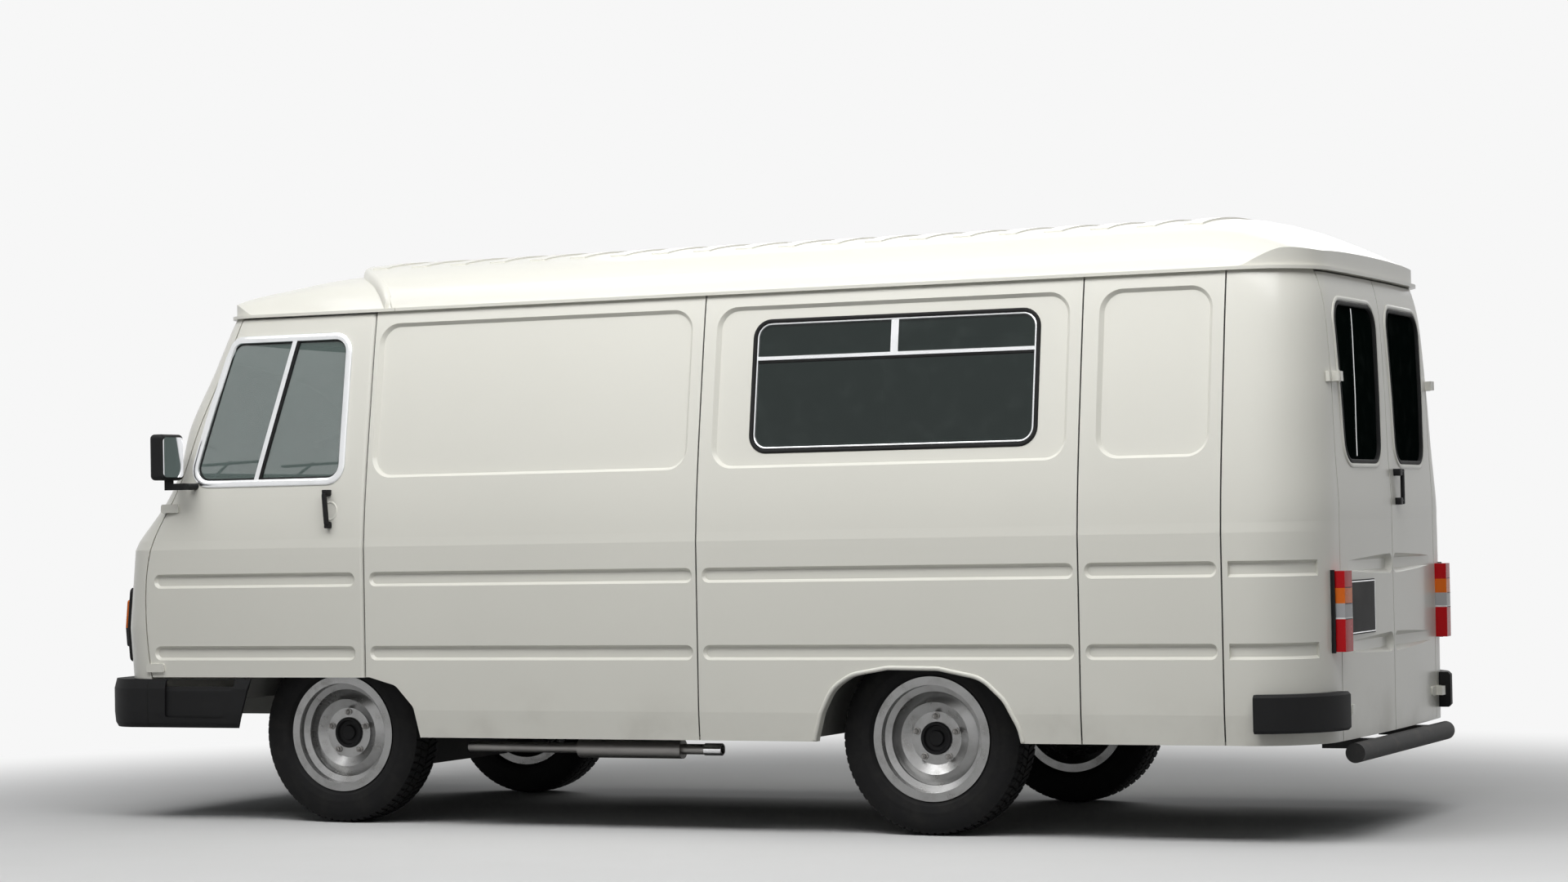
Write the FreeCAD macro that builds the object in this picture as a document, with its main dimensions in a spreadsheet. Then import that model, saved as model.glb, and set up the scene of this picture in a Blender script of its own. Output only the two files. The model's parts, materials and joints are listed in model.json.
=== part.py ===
"""Panel van with a forward cab, built as separate panels, doors, wheels and axles.

X points to the nose, Y to the left, Z up. The origin is on the ground, in the
middle of the overall length and width. Lengths are in millimetres.
"""
import FreeCAD, Part
import math
import os
import Sketcher
from FreeCAD import Placement, Rotation, Vector

doc = FreeCAD.newDocument("PanelVan")
sheet = doc.addObject("Spreadsheet::Sheet", "Sizes")

X, Y, Z = Vector(1, 0, 0), Vector(0, 1, 0), Vector(0, 0, 1)
ORIGIN = Vector(0, 0, 0)

# Driving dimensions
SIZES = {
    # Whole vehicle, places counted back from the front axle
    "overall_length": 5168, "front_overhang": 1110, "wheelbase": 2500,
    "body_half_width": 953, "nose_reach": 1036, "tail_reach": 4002,
    "wall": 34, "door_wall": 30, "panel_gap": 6, "overrun": 20,
    "sill_height": 346, "door_sill_height": 575, "gutter_height": 1996,
    "cab_seam": 200, "first_seam": 1634, "second_seam": 3130, "corner_seam": 3655,
    # Plan outline
    "nose_crown_radius": 5500, "nose_corner_radius": 170,
    "tail_crown_radius": 15000, "tail_corner_radius": 260,
    # Beads pressed in the lower sides
    "bead_height": 56, "bead_depth": 12, "bead_slope": 10, "bead_margin": 20,
    "upper_bead_height": 955, "lower_bead_height": 670,
    # Recessed fields and side windows
    "field_bottom": 1345, "field_top": 1950, "field_depth": 16, "field_slope": 14,
    "rear_arch_half": 399, "rear_arch_rise": 265, "front_arch_reach": 436, "arch_corner_radius": 45,
    "rear_arch_radius": 140,
    "bumper_gap": 2, "field_radius": 70, "field_margin": 50, "rear_field_start": 3189,
    "rear_field_end": 3608,
    "side_window_start": 1838, "side_window_end": 2957,
    "side_window_bottom": 1407, "side_window_top": 1889, "side_window_radius": 62,
    "glass_thickness": 5, "glass_inset": 8, "glass_gap": 0.3,
    # Cab door window, along the sloping door
    "door_window_bottom": 1342, "door_window_top": 1905, "door_window_back": 80,
    "door_window_front_low": 612, "door_window_front_high": 462, "door_window_radius": 62,
    # Windscreen, across the nose
    "screen_bottom": 1372, "screen_top": 1925, "screen_radius": 90,
    "screen_low_half_width": 772, "screen_high_half_width": 694,
    "door_roll_radius": 18, "rear_pin_side": 654, "rear_pin_proud": 27, "rear_pin_radius": 8,
    "pin_clearance": 0.8,
    "hinge_leaf": 9, "hinge_sink": 6, "hinge_width": 84, "hinge_tall": 34,
    "upper_hinge_forward": 705, "upper_hinge_height": 1244,
    "lower_hinge_forward": 775, "lower_hinge_height": 612,
    "pillar_back": 400, "nose_bottom": 440, "nose_side_front": 799,
    "grille_opening_half": 770, "grille_bottom": 630, "grille_top": 932, "grille_flange": 26,
    "grille_half": 838, "grille_proud": 12, "grille_depth": 26, "grille_slat_half": 420,
    "grille_slats": 7, "slat_bar": 12, "headlamp_radius": 92, "headlamp_spacing": 1180,
    "lamp_inset": 4, "lamp_depth": 18, "indicator_proud": 44, "indicator_inner": 735,
    "indicator_outer": 812, "indicator_bottom": 692, "indicator_top": 880,
    # Rear doors and their windows
    "rear_door_half_width": 646, "rear_window_inner": 75, "rear_window_outer": 575,
    "rear_window_outer_taper": 45, "rear_window_inner_taper": 35,
    "rear_upper_hinge_height": 1618, "rear_lower_hinge_height": 456, "rear_window_bottom": 1325,
    "rear_window_top": 1885, "rear_window_radius": 75,
    # Roofs
    "roof_tail": 3951, "roof_fall": 524, "roof_joint_side": 264, "roof_joint_middle": -165, "roof_crown": 250,
    "rib_start": 50,
    "roof_wall": 25, "roof_tail_start": 3460,
    "rib_width": 70, "rib_height": 7, "rib_pitch": 178, "rib_half_length": 610,
    "gutter_lip": 16, "gutter_thickness": 12,
    # Wheels and tyres
    "tyre_bead_rise": 3, "tyre_clearance": 1, "tread_fall": 4, "tyre_radius": 350,
    "tyre_width": 192, "tread_width": 150, "tyre_bore_radius": 203,
    "rim_flange_radius": 227, "rim_width": 158, "rim_wall": 7, "rim_well_radius": 178,
    "hub_hole_radius": 56, "lug_circle_radius": 81, "lug_hole_radius": 8, "lug_count": 5,
    "hub_plane_inset": 52, "seat_gap": 0.3, "rim_dish_radius": 132,
    # Steering knuckles, axles and drive
    "steering_arm": 150, "steering_arm_drop": 60, "spring_pad": 60, "knuckle_height": 230,
    "stub_radius": 30,
    "hub_radius": 100, "hub_thickness": 22,
    "rear_beam_radius": 38, "arm_thickness": 46,
    "engine_length": 560, "engine_width": 520, "engine_height": 430, "engine_bottom": 300,
    "engine_forward": 420,
    "wheel_centre": 735, "kingpin_centre": 655, "drum_radius": 104, "drum_back": 40,
    "stub_end_back": 4, "upright_width": 46,
    # Bumpers, rear step, tail lamps
    "bumper_wall": 11, "bumper_proud": 21, "bumper_draw": 30, "recess_depth": 10,
    "recess_margin": 8, "bumper_low_start": 439, "bumper_high_start": 324,
    "corner_bumper_start": 3766, "corner_bumper_end": 700, "corner_bumper_low": 389,
    "corner_bumper_high": 523, "corner_bumper_proud": 46, "edge_break": 10,
    "step_clearance": 8, "step_foot": 90, "rail_end": 3930, "rail_front": 780,
    "step_back": 4023, "step_radius": 35, "step_half_length": 637, "step_height": 304,
    "tail_lamp_inner": 662, "tail_lamp_outer": 738, "tail_lamp_low": 660, "tail_lamp_high": 940,
    "tail_lamp_proud": 45,
    # Exhaust and fuel tank
    "exhaust_side": 600, "exhaust_height": 288, "silencer_radius": 37, "silencer_start": 946,
    "silencer_end": 1389, "pipe_radius": 20, "pipe_start": 455, "pipe_end": 1556,
    "pipe_bore": 17, "tank_start": 700, "tank_length": 620, "tank_width": 420, "tank_drop": 210,
    # Mirrors
    "mirror_forward": 660, "mirror_depth": 66, "mirror_width": 150, "mirror_tall": 182,
    "mirror_bottom": 1356, "mirror_inner": 950, "mirror_radius": 18, "mirror_arm": 26,
    # Cab fittings
    "dash_round": 50, "seat_base_margin": 30, "dash_front": 790, "dash_back": 560, "dash_low": 1010,
    "dash_high": 1260,
    "dash_half_width": 800, "steering_radius": 210, "steering_rim": 14, "steering_side": 430,
    "steering_forward": 340, "steering_height": 1150, "steering_lean": 30, "column_radius": 22,
    "seat_width": 470, "seat_length": 460, "cushion_thickness": 120, "back_thickness": 110,
    "back_height": 560, "cushion_height": 912, "seat_forward": 340, "seat_side": 470,
    "back_lean": 12, "cushion_round": 32, "mirror_foot": 590, "steering_column": 640,
    # Floors and wheel housings
    "load_floor_height": 520, "floor_thickness": 30, "cab_floor_height": 600,
    "front_housing_inner": 440, "rear_housing_inner": 560, "housing_radius": 430,
    "housing_wall": 12, "engine_cover_width": 640, "engine_cover_length": 760,
    "engine_cover_height": 790, "rail_height": 90, "rail_width": 70, "rail_spacing": 760,
    "cab_rear": 230, "cab_floor_front": 760, "post_depth": 45, "tow_hole_depth": 70,
    "tow_hole_radius": 6.5, "tow_hole_back": 3780,
}


def place_sizes():
    """Write every driving dimension to the sheet as plain text with its alias."""
    for row, (alias, value) in enumerate(SIZES.items(), start=1):
        sheet.set(f"A{row}", alias.replace("_", " "))
        sheet.set(f"B{row}", str(value))
        sheet.setAlias(f"B{row}", alias)


place_sizes()
doc.recompute()


def v(alias):
    """Read one size back from the sheet."""
    return float(sheet.get(alias))


def at(back):
    """X of a place counted back from the front axle."""
    return v("overall_length") / 2 - v("front_overhang") - back


FRONT_AXLE = at(0)
REAR_AXLE = at(v("wheelbase"))

# Height stations of the body as shares of the gutter height, half width, nose reach and tail reach
BELT = 4
STATION_SHARES = (
    (0.1733, 0.9937, 0.9653, 0.9995), (0.2255, 1, 0.9768, 0.9995), (0.3858, 1, 1, 1),
    (0.5411, 1, 0.971, 0.9998), (0.5586, 0.9963, 0.9537, 0.9998), (0.6112, 0.9869, 0.8687, 0.9995),
    (0.6713, 0.9717, 0.7954, 0.9978), (0.7816, 0.9381, 0.7403, 0.996),
    (0.8918, 0.9019, 0.6429, 0.9935), (0.9519, 0.8814, 0.5946, 0.9908), (1, 0.8615, 0.5541, 0.9848),
)


def station(shares):
    """Height, half width, nose ahead of and tail behind the front axle at one level."""
    level, wide, nose_share, tail_share = shares
    height = v("sill_height") if shares is STATION_SHARES[0] else level * v("gutter_height")
    return height, wide * v("body_half_width"), nose_share * v("nose_reach"), tail_share * v("tail_reach")


STATIONS = [station(shares) for shares in STATION_SHARES]


def interpolate(height, column):
    """Read one column of the stations at a height."""
    for low, high in zip(STATIONS, STATIONS[1:]):
        if height <= high[0]:
            break
    share = (height - low[0]) / (high[0] - low[0])
    return low[column] + share * (high[column] - low[column])


def half_width(height):
    return interpolate(height, 1)


def corner_centre(end, crown, corner, half):
    """X of a corner arc's centre, with the arc inside the crown arc and touching the side."""
    return end - crown + math.sqrt((crown - corner) ** 2 - (half - corner) ** 2)


def plan_outline(height, half, nose, tail, offset):
    """Closed plan wire at one height: two sides, four corner arcs and two crowned ends."""
    half -= offset
    front, back = at(-nose) - offset, at(tail) + offset
    edges = []
    ends = []
    for end, way, crown, corner in (
        (front, 1, v("nose_crown_radius") - offset, v("nose_corner_radius") - offset),
        (back, -1, v("tail_crown_radius") - offset, v("tail_corner_radius") - offset),
    ):
        centre = way * corner_centre(way * end, crown, corner, half)
        crown_centre = end - way * crown
        lean = math.atan2(half - corner, way * (centre - crown_centre))
        touch = (crown_centre + way * crown * math.cos(lean), crown * math.sin(lean))
        middle = (lean + math.pi / 2) / 2
        bend = (centre + way * corner * math.cos(middle), half - corner + corner * math.sin(middle))
        ends.append((centre, bend, touch, end))
    (fc, fb, ft, fe), (bc, bb, bt, be) = ends

    def point(x, y):
        return Vector(x, y, height)

    edges.append(Part.makeLine(point(bc, half), point(fc, half)))
    edges.append(Part.Arc(point(fc, half), point(*fb), point(*ft)).toShape())
    edges.append(Part.Arc(point(*ft), point(fe, 0), point(ft[0], -ft[1])).toShape())
    edges.append(Part.Arc(point(ft[0], -ft[1]), point(fb[0], -fb[1]), point(fc, -half)).toShape())
    edges.append(Part.makeLine(point(fc, -half), point(bc, -half)))
    edges.append(Part.Arc(point(bc, -half), point(bb[0], -bb[1]), point(bt[0], -bt[1])).toShape())
    edges.append(Part.Arc(point(bt[0], -bt[1]), point(be, 0), point(*bt)).toShape())
    edges.append(Part.Arc(point(*bt), point(*bb), point(bc, half)).toShape())
    return Part.Wire(edges)


def envelope(offset):
    """Solid of the body's outer form, moved in by an offset: straight lower sides, curved above."""
    wires = [plan_outline(*station, offset) for station in STATIONS]
    lower = Part.makeLoft(wires[:BELT + 1], True, True)
    upper = Part.makeLoft(wires[BELT:], True, False)
    return lower.fuse(upper)


def box(x0, x1, y0, y1, z0, z1):
    """Box between pairs of limits."""
    return Part.makeBox(x1 - x0, y1 - y0, z1 - z0, Vector(x0, y0, z0))


def mirrored(shape):
    """The same piece on the other side."""
    return shape.mirror(ORIGIN, Y)


def rounded_wire(points, radius, level):
    """Closed wire through corner points in a plane, with each corner rounded."""
    corners = [Vector(px, py, level) for px, py in points]
    edges, count = [], len(corners)
    starts, stops, middles = [], [], []
    for i, corner in enumerate(corners):
        before = (corners[i - 1] - corner).normalize()
        after = (corners[(i + 1) % count] - corner).normalize()
        half_angle = before.getAngle(after) / 2
        reach = radius / math.tan(half_angle)
        bisector = (before + after).normalize()
        starts.append(corner + before * reach)
        stops.append(corner + after * reach)
        middles.append(corner + bisector * (radius / math.sin(half_angle) - radius))
    for i in range(count):
        edges.append(Part.Arc(starts[i], middles[i], stops[i]).toShape())
        if (stops[i] - starts[(i + 1) % count]).Length > 0.01:
            edges.append(Part.makeLine(stops[i], starts[(i + 1) % count]))
    return Part.Wire(edges)


def widened(points, grow):
    """Corner points of a convex outline moved out by a distance."""
    moved, count = [], len(points)
    centre_x = sum(p[0] for p in points) / count
    centre_y = sum(p[1] for p in points) / count
    for i, (px, py) in enumerate(points):
        before, after = points[i - 1], points[(i + 1) % count]
        normals = []
        for (ax, ay), (bx, by) in ((before, (px, py)), ((px, py), after)):
            length = math.hypot(bx - ax, by - ay)
            nx, ny = (by - ay) / length, -(bx - ax) / length
            if nx * (px - centre_x) + ny * (py - centre_y) < 0:
                nx, ny = -nx, -ny
            normals.append((nx, ny))
        (nx, ny), (mx, my) = normals
        scale = grow / (1 + nx * mx + ny * my)
        moved.append((px + (nx + mx) * scale, py + (ny + my) * scale))
    return moved


def prism(points, radius, low, high):
    """Straight prism with rounded corners between two levels of its own plane."""
    wire = rounded_wire(points, radius, low)
    return Part.Face(wire).extrude(Vector(0, 0, high - low))


def dish(points, radius, depth, slope):
    """Cutter for a pressed recess: its walls lean out from the floor to past the surface."""
    rise = v("overrun")
    grow = slope * (depth + rise) / depth
    floor = rounded_wire(points, radius, -depth)
    mouth = rounded_wire(widened(points, grow), radius + grow, rise)
    return Part.makeLoft([floor, mouth], True, True)


def rectangle(x0, x1, y0, y1):
    return [(x0, y0), (x1, y0), (x1, y1), (x0, y1)]


def side_plane(height):
    """Base, across and up of the left side at a height; across runs back from the front axle."""
    reach = v("overrun")
    rise = half_width(height + reach) - half_width(height - reach)
    up = Vector(0, rise, 2 * reach).normalize()
    return Vector(at(0), half_width(height), height), X * -1, up


def seat_on(shape, base, across, up):
    """Carry a shape from its own plane to one given by its base, across and up directions."""
    outward = across.cross(up)
    matrix = FreeCAD.Matrix(
        across.x, up.x, outward.x, base.x,
        across.y, up.y, outward.y, base.y,
        across.z, up.z, outward.z, base.z,
        0, 0, 0, 1,
    )
    placed = shape.copy()
    placed.Placement = Placement(matrix)
    return placed


nodes = {}


def add(label, shape):
    """Put one finished piece in the document as a feature of its own."""
    feature = doc.addObject("Part::Feature", label)
    feature.Label = label
    feature.Shape = shape
    feature.Placement = Placement()
    nodes[label] = feature
    return feature


def pair(shape):
    """A left piece and its mirror image as one compound of two solids."""
    return Part.makeCompound([shape, mirrored(shape)])


# Skins of the body, cut from nested envelopes
OUTER = envelope(0)
SKIN = OUTER.cut(envelope(v("wall")))
DOOR_SKIN = OUTER.cut(envelope(v("door_wall")))
GLASS_SKIN = envelope(v("glass_inset")).cut(envelope(v("glass_inset") + v("glass_thickness")))
LOW, HIGH = v("sill_height"), v("gutter_height")
FAR = v("overall_length")
GAP = v("panel_gap")


def side_bead(height, start, stop):
    """Cutter for a bead with round ends pressed in the left side."""
    half = v("bead_height") / 2
    slope = v("bead_slope")
    outline = rectangle(start + slope, stop - slope, slope - half, half - slope)
    radius = half - slope - v("glass_gap")
    cutter = dish(outline, radius, v("bead_depth"), slope)
    return seat_on(cutter, *side_plane(height))


def side_beads(start, stop):
    """Both beads between two places counted back from the front axle."""
    margin = v("bead_margin")
    heights = (v("upper_bead_height"), v("lower_bead_height"))
    return [side_bead(height, start + margin, stop - margin) for height in heights]


def side_field(start, stop):
    """Cutter for the recessed window field of a side panel."""
    low, high = v("field_bottom"), v("field_top")
    base, across, up = side_plane((low + high) / 2)
    slope = v("field_slope")
    half = (high - low) / 2 / up.z - slope
    outline = rectangle(start + slope, stop - slope, -half, half)
    return seat_on(dish(outline, v("field_radius"), v("field_depth"), slope), base, across, up)


def side_prism(points, radius):
    """Prism through the left side; the points are places back from the axle and heights."""
    shape = prism(points, radius, v("overrun"), FAR)
    return seat_on(shape, Vector(at(0), 0, 0), X * -1, Z)


def side_slab(start, stop, low=LOW, high=HIGH, skin=SKIN):
    """Part of a skin on the left between two places back from the front axle."""
    region = box(at(stop), at(start), v("overrun"), FAR, low, high)
    return skin.common(region)


# Rear wheel opening: shares of its half length and of its rise over the sill
REAR_ARCH_SHARES = (
    (-1, 0), (-0.925, 0.385), (-0.81, 0.72), (-0.62, 0.895), (-0.27, 0.985),
    (0.216, 0.975), (0.63, 0.85), (0.84, 0.56), (0.97, 0.2), (1, 0),
)
# Front wheel opening: shares of its reach behind the axle and of its rise over the sill
FRONT_ARCH_SHARES = ((0.49, 1), (0.76, 0.86), (0.94, 0.5), (1, 0))


def rear_arch():
    """Rear wheel opening: nearly upright sides, rounded shoulders and a flat top."""
    half, rise = v("rear_arch_half"), v("rear_arch_rise")
    points = [(v("wheelbase") - half, -LOW)]
    points += [(v("wheelbase") + along * half, LOW + up * rise) for along, up in REAR_ARCH_SHARES]
    points += [(v("wheelbase") + half, -LOW)]
    return side_prism(points, v("rear_arch_radius"))


def front_arch():
    """Front wheel opening behind the cab seam: it sweeps from the door sill to the body sill."""
    reach, rise = v("front_arch_reach"), v("door_sill_height") + v("bumper_gap") - LOW
    points = [(-FAR, -LOW), (-FAR, LOW + rise)]
    points += [(along * reach, LOW + up * rise) for along, up in FRONT_ARCH_SHARES]
    points += [(reach, -LOW)]
    return side_prism(points, v("arch_corner_radius"))


# Door shut line from the gutter down: shares of the nose reach and of the door's height
SHUT_SHARES = (
    (0.4151, 1), (0.4807, 0.8642), (0.5772, 0.6911), (0.6737, 0.5032), (0.7587, 0.3688),
    (0.7867, 0.2773), (0.7905, 0.1787), (0.7838, 0.0985), (0.7654, 0),
)


def shut_line():
    """Region of the left cab door in side view, ahead of the seam and behind the shut line."""
    reach, sill = v("nose_reach"), v("door_sill_height")
    rise = HIGH - sill
    points = [Vector(along * reach, 0, sill + up * rise) for along, up in SHUT_SHARES]
    curve = Part.BSplineCurve()
    curve.interpolate(points)
    seam = -v("cab_seam") + GAP
    low_back = Vector(seam, 0, v("door_sill_height"))
    high_back = Vector(seam, 0, HIGH)
    edges = [
        curve.toShape(),
        Part.makeLine(points[-1], low_back),
        Part.makeLine(low_back, high_back),
        Part.makeLine(high_back, points[0]),
    ]
    face = Part.Face(Part.Wire(edges))
    region = face.extrude(Y * FAR)
    region.translate(Vector(at(0), v("overrun"), 0))
    return region


# Side panels behind the cab
first = side_slab(v("cab_seam"), v("first_seam") - GAP)
for cutter in side_beads(v("cab_seam"), v("first_seam")) + [front_arch()]:
    first = first.cut(cutter)
first = first.cut(side_field(v("cab_seam") + v("bead_margin"), v("first_seam") - v("field_margin")))
add("front_side_panels", pair(first))

window_edge = rectangle(
    v("side_window_start"), v("side_window_end"), v("side_window_bottom"), v("side_window_top"),
)
middle = side_slab(v("first_seam"), v("second_seam") - GAP)
for cutter in side_beads(v("first_seam"), v("second_seam")) + [rear_arch()]:
    middle = middle.cut(cutter)
middle = middle.cut(side_field(v("first_seam") + v("field_margin"), v("second_seam") - v("field_margin")))
middle = middle.cut(side_prism(window_edge, v("side_window_radius")))
add("window_side_panels", pair(middle))

last = side_slab(v("second_seam"), v("corner_seam") - GAP)
for cutter in side_beads(v("second_seam"), v("corner_seam")):
    last = last.cut(cutter)
last = last.cut(side_field(v("rear_field_start"), v("rear_field_end")))
add("rear_side_panels", pair(last))


# Degrees that a bead follows the rear corner round
CORNER_BEAD_TURN = 62


def corner_bead(height):
    """Cutter for a bead that runs back along the side and round the rear corner."""
    half, tail = half_width(height), interpolate(height, 3)
    radius = v("tail_corner_radius")
    centre = -corner_centre(-at(tail), v("tail_crown_radius"), radius, half)
    slope, depth, rise = v("bead_slope"), v("bead_depth"), v("overrun")
    floor = v("bead_height") / 2 - slope
    mouth = floor + slope * (depth + rise) / depth
    corners = [(-depth, -floor), (-depth, floor), (rise, mouth), (rise, -mouth)]
    points = [Vector(centre, half + out, height + up) for out, up in corners]
    face = Part.Face(Part.makePolygon(points + points[:1]))
    front = at(v("corner_seam") + v("bead_margin"))
    straight = face.extrude(Vector(front - centre, 0, 0))
    curved = face.revolve(Vector(centre, half - radius, height), Z, CORNER_BEAD_TURN)
    return straight.fuse(curved)


def end_prism(points, radius, back):
    """Prism along the length through the nose or the tail; the points are Y and heights."""
    shape = prism(points, radius, v("overrun"), FAR)
    across = Y * -1 if back else Y
    return seat_on(shape, ORIGIN, across, Z)


def rear_plane(height, sideways):
    """Base, across and up of the tail at a height and a distance from the middle."""
    reach = v("overrun")
    radius = v("tail_crown_radius")
    lean = sideways / radius
    fall = interpolate(height + reach, 3) - interpolate(height - reach, 3)
    up = Vector(-fall, 0, 2 * reach).normalize()
    across = Vector(math.sin(lean), -math.cos(lean), 0)
    depth = radius - math.sqrt(radius ** 2 - sideways ** 2)
    return Vector(at(interpolate(height, 3)) + depth, sideways, height), across, up


def rear_pin(height):
    """Middle of a rear door's hinge pin, which stands off the skin so that the door swings clear."""
    base, across, up = rear_plane(height, v("rear_pin_side"))
    return base + across.cross(up) * v("rear_pin_proud")


def rear_slab(height, inner, outer, proud):
    """Block on the left of the tail between two distances from the middle, sunk in the skin."""
    middle, half, tall = (inner + outer) / 2, (outer - inner) / 2, v("hinge_tall") / 2
    slab = prism(rectangle(-half, half, -tall, tall), v("glass_gap"), -v("hinge_sink"), proud)
    return seat_on(slab, *rear_plane(height, middle))


def hinge_knuckle(height):
    """Fixed half of a rear hinge: a leaf on the corner panel, a web and the barrel round the pin."""
    radius, side = v("rear_pin_radius"), v("rear_pin_side")
    edge = v("rear_door_half_width") + GAP + v("glass_gap")
    centre = rear_pin(height)
    up = (rear_pin(v("rear_upper_hinge_height")) - rear_pin(v("rear_lower_hinge_height"))).normalize()
    barrel = Part.makeCylinder(radius, v("hinge_tall"), centre - up * (v("hinge_tall") / 2), up)
    web = rear_slab(height, edge, side + radius, v("rear_pin_proud"))
    leaf = rear_slab(height, edge, edge + v("hinge_width") / 2, v("hinge_leaf"))
    return barrel.fuse(web).fuse(leaf)


# Rear corner panels
corner = SKIN.common(box(-FAR, at(v("corner_seam")), v("rear_door_half_width") + GAP, FAR, LOW, HIGH))
for bead_height in (v("upper_bead_height"), v("lower_bead_height")):
    corner = corner.cut(corner_bead(bead_height))
for pin_height in (v("rear_upper_hinge_height"), v("rear_lower_hinge_height")):
    corner = corner.fuse(hinge_knuckle(pin_height))
add("rear_corner_panels", pair(corner))


def screen_outline(grow):
    """Windscreen in front view: wide below, narrower above."""
    low, high = v("screen_bottom"), v("screen_top")
    wide, narrow = v("screen_low_half_width"), v("screen_high_half_width")
    return widened([(-wide, low), (wide, low), (narrow, high), (-narrow, high)], grow)


def door_window_outline(grow):
    """Cab door window in side view, its front edge leaning like the windscreen pillar."""
    points = [
        (v("door_window_back"), v("door_window_bottom")),
        (v("door_window_back"), v("door_window_top")),
        (-v("door_window_front_high"), v("door_window_top")),
        (-v("door_window_front_low"), v("door_window_bottom")),
    ]
    return widened([(-back, height) for back, height in points], grow)


def rear_outer_edges(shape):
    """Edges along the outer face at the door's rear end."""
    rear = at(v("cab_seam") - GAP)
    found = []
    for edge in shape.Edges:
        box_of_edge = edge.BoundBox
        middle = edge.valueAt((edge.FirstParameter + edge.LastParameter) / 2)
        at_rear = abs(box_of_edge.XMin - rear) < 1e-3 and box_of_edge.XLength < 1e-3
        outside = abs(middle.y - half_width(middle.z)) < v("glass_gap") * 4
        if at_rear and outside and box_of_edge.ZLength > v("panel_gap"):
            found.append(edge)
    return found


# Cab doors: the skin inside the shut line, thinned over the wheel, with its window cut
door_region = shut_line()
door = DOOR_SKIN.common(door_region)
door = door.makeFillet(v("door_roll_radius"), rear_outer_edges(door))
door = door.cut(box(-FAR, FAR, -FAR, FAR, HIGH - GAP, FAR))
window_points = [(-px, pz) for px, pz in door_window_outline(0)]
door = door.cut(side_prism(window_points, v("door_window_radius")))
margin = v("bead_margin")
for bead_height in (v("upper_bead_height"), v("lower_bead_height")):
    door = door.cut(side_bead(bead_height, margin - v("nose_side_front"), v("cab_seam") - GAP - 2 * margin))


def hinge_leaf(back, height, width, tall):
    """Rounded strap that stands on the outer skin beside a hinge pin."""
    base, across, up = side_plane(height)
    outline = rectangle(back - width / 2, back + width / 2, -tall / 2, tall / 2)
    slab = prism(outline, tall / 4, -v("hinge_sink"), v("hinge_leaf"))
    return seat_on(slab, base, across, up)


clear_of_skin = envelope(-v("glass_gap"))
hinge_places = (
    (v("upper_hinge_forward"), v("upper_hinge_height")), (v("lower_hinge_forward"), v("lower_hinge_height")),
)
for forward, height in hinge_places:
    leaf = hinge_leaf(-forward, height, v("hinge_width"), v("hinge_tall"))
    door = door.fuse(leaf.cut(clear_of_skin)).fuse(leaf.common(door_region))
add("cab_door_left", door)
add("cab_door_right", mirrored(door))

# Nose: everything ahead of the shut lines, open for the windscreen and behind the grille
nose = SKIN.common(box(at(-v("pillar_back")), FAR, -FAR, FAR, v("nose_bottom"), HIGH))
cleared = door_region.fuse(door_region.translated(X * GAP))
under = box(-FAR, at(-v("nose_side_front")), v("overrun"), FAR, 0, v("door_sill_height") + GAP)
for region in (cleared, under):
    nose = nose.cut(region).cut(mirrored(region))
nose = nose.cut(end_prism(screen_outline(0), v("screen_radius"), False))
grille_opening = rectangle(
    -v("grille_opening_half"), v("grille_opening_half"),
    v("grille_bottom") + v("grille_flange"), v("grille_top") - v("grille_flange"),
)
nose = nose.cut(end_prism(grille_opening, v("grille_flange"), False))
add("nose_panel", nose)

def rear_window_outline(grow):
    """Rear window, narrower below than above."""
    inner, outer = v("rear_window_inner"), v("rear_window_outer")
    low, high = v("rear_window_bottom"), v("rear_window_top")
    low_outer, low_inner = outer - v("rear_window_outer_taper"), inner + v("rear_window_inner_taper")
    return widened([(-low_outer, low), (-low_inner, low), (-inner, high), (-outer, high)], grow)


# Rear doors
def rear_door():
    """Left rear door with its window, beads and two hinge leaves."""
    edge, half_gap = v("rear_door_half_width"), GAP / 2
    leaf = DOOR_SKIN.common(box(-FAR, at(v("corner_seam")), half_gap, edge, LOW, HIGH - GAP))
    leaf = leaf.cut(end_prism(rear_window_outline(0), v("rear_window_radius"), True))
    span = edge - half_gap - 2 * v("bead_margin") - v("bead_slope")
    for height in (v("upper_bead_height"), v("lower_bead_height")):
        half, slope = v("bead_height") / 2, v("bead_slope")
        outline = rectangle(-span / 2, span / 2, slope - half, half - slope)
        cutter = dish(outline, half - slope - v("glass_gap"), v("bead_depth"), slope)
        leaf = leaf.cut(seat_on(cutter, *rear_plane(height, edge / 2)))
    for height in (v("rear_upper_hinge_height"), v("rear_lower_hinge_height")):
        wide, tall = v("hinge_width") / 2, v("hinge_tall") / 2
        outline = rectangle(-wide, wide, -tall, tall)
        slab = prism(outline, v("hinge_tall") / 4, -v("hinge_sink"), v("hinge_leaf"))
        leaf = leaf.fuse(seat_on(slab, *rear_plane(height, edge - v("hinge_width") / 2)))
        arm_end = v("rear_pin_side") - v("rear_pin_radius") - v("pin_clearance")
        arm = rear_slab(height, arm_end - v("hinge_tall"), arm_end, v("rear_pin_proud") + v("hinge_sink"))
        leaf = leaf.fuse(arm)
    return leaf


rear = rear_door()
add("rear_door_left", rear)
add("rear_door_right", mirrored(rear))

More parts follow.
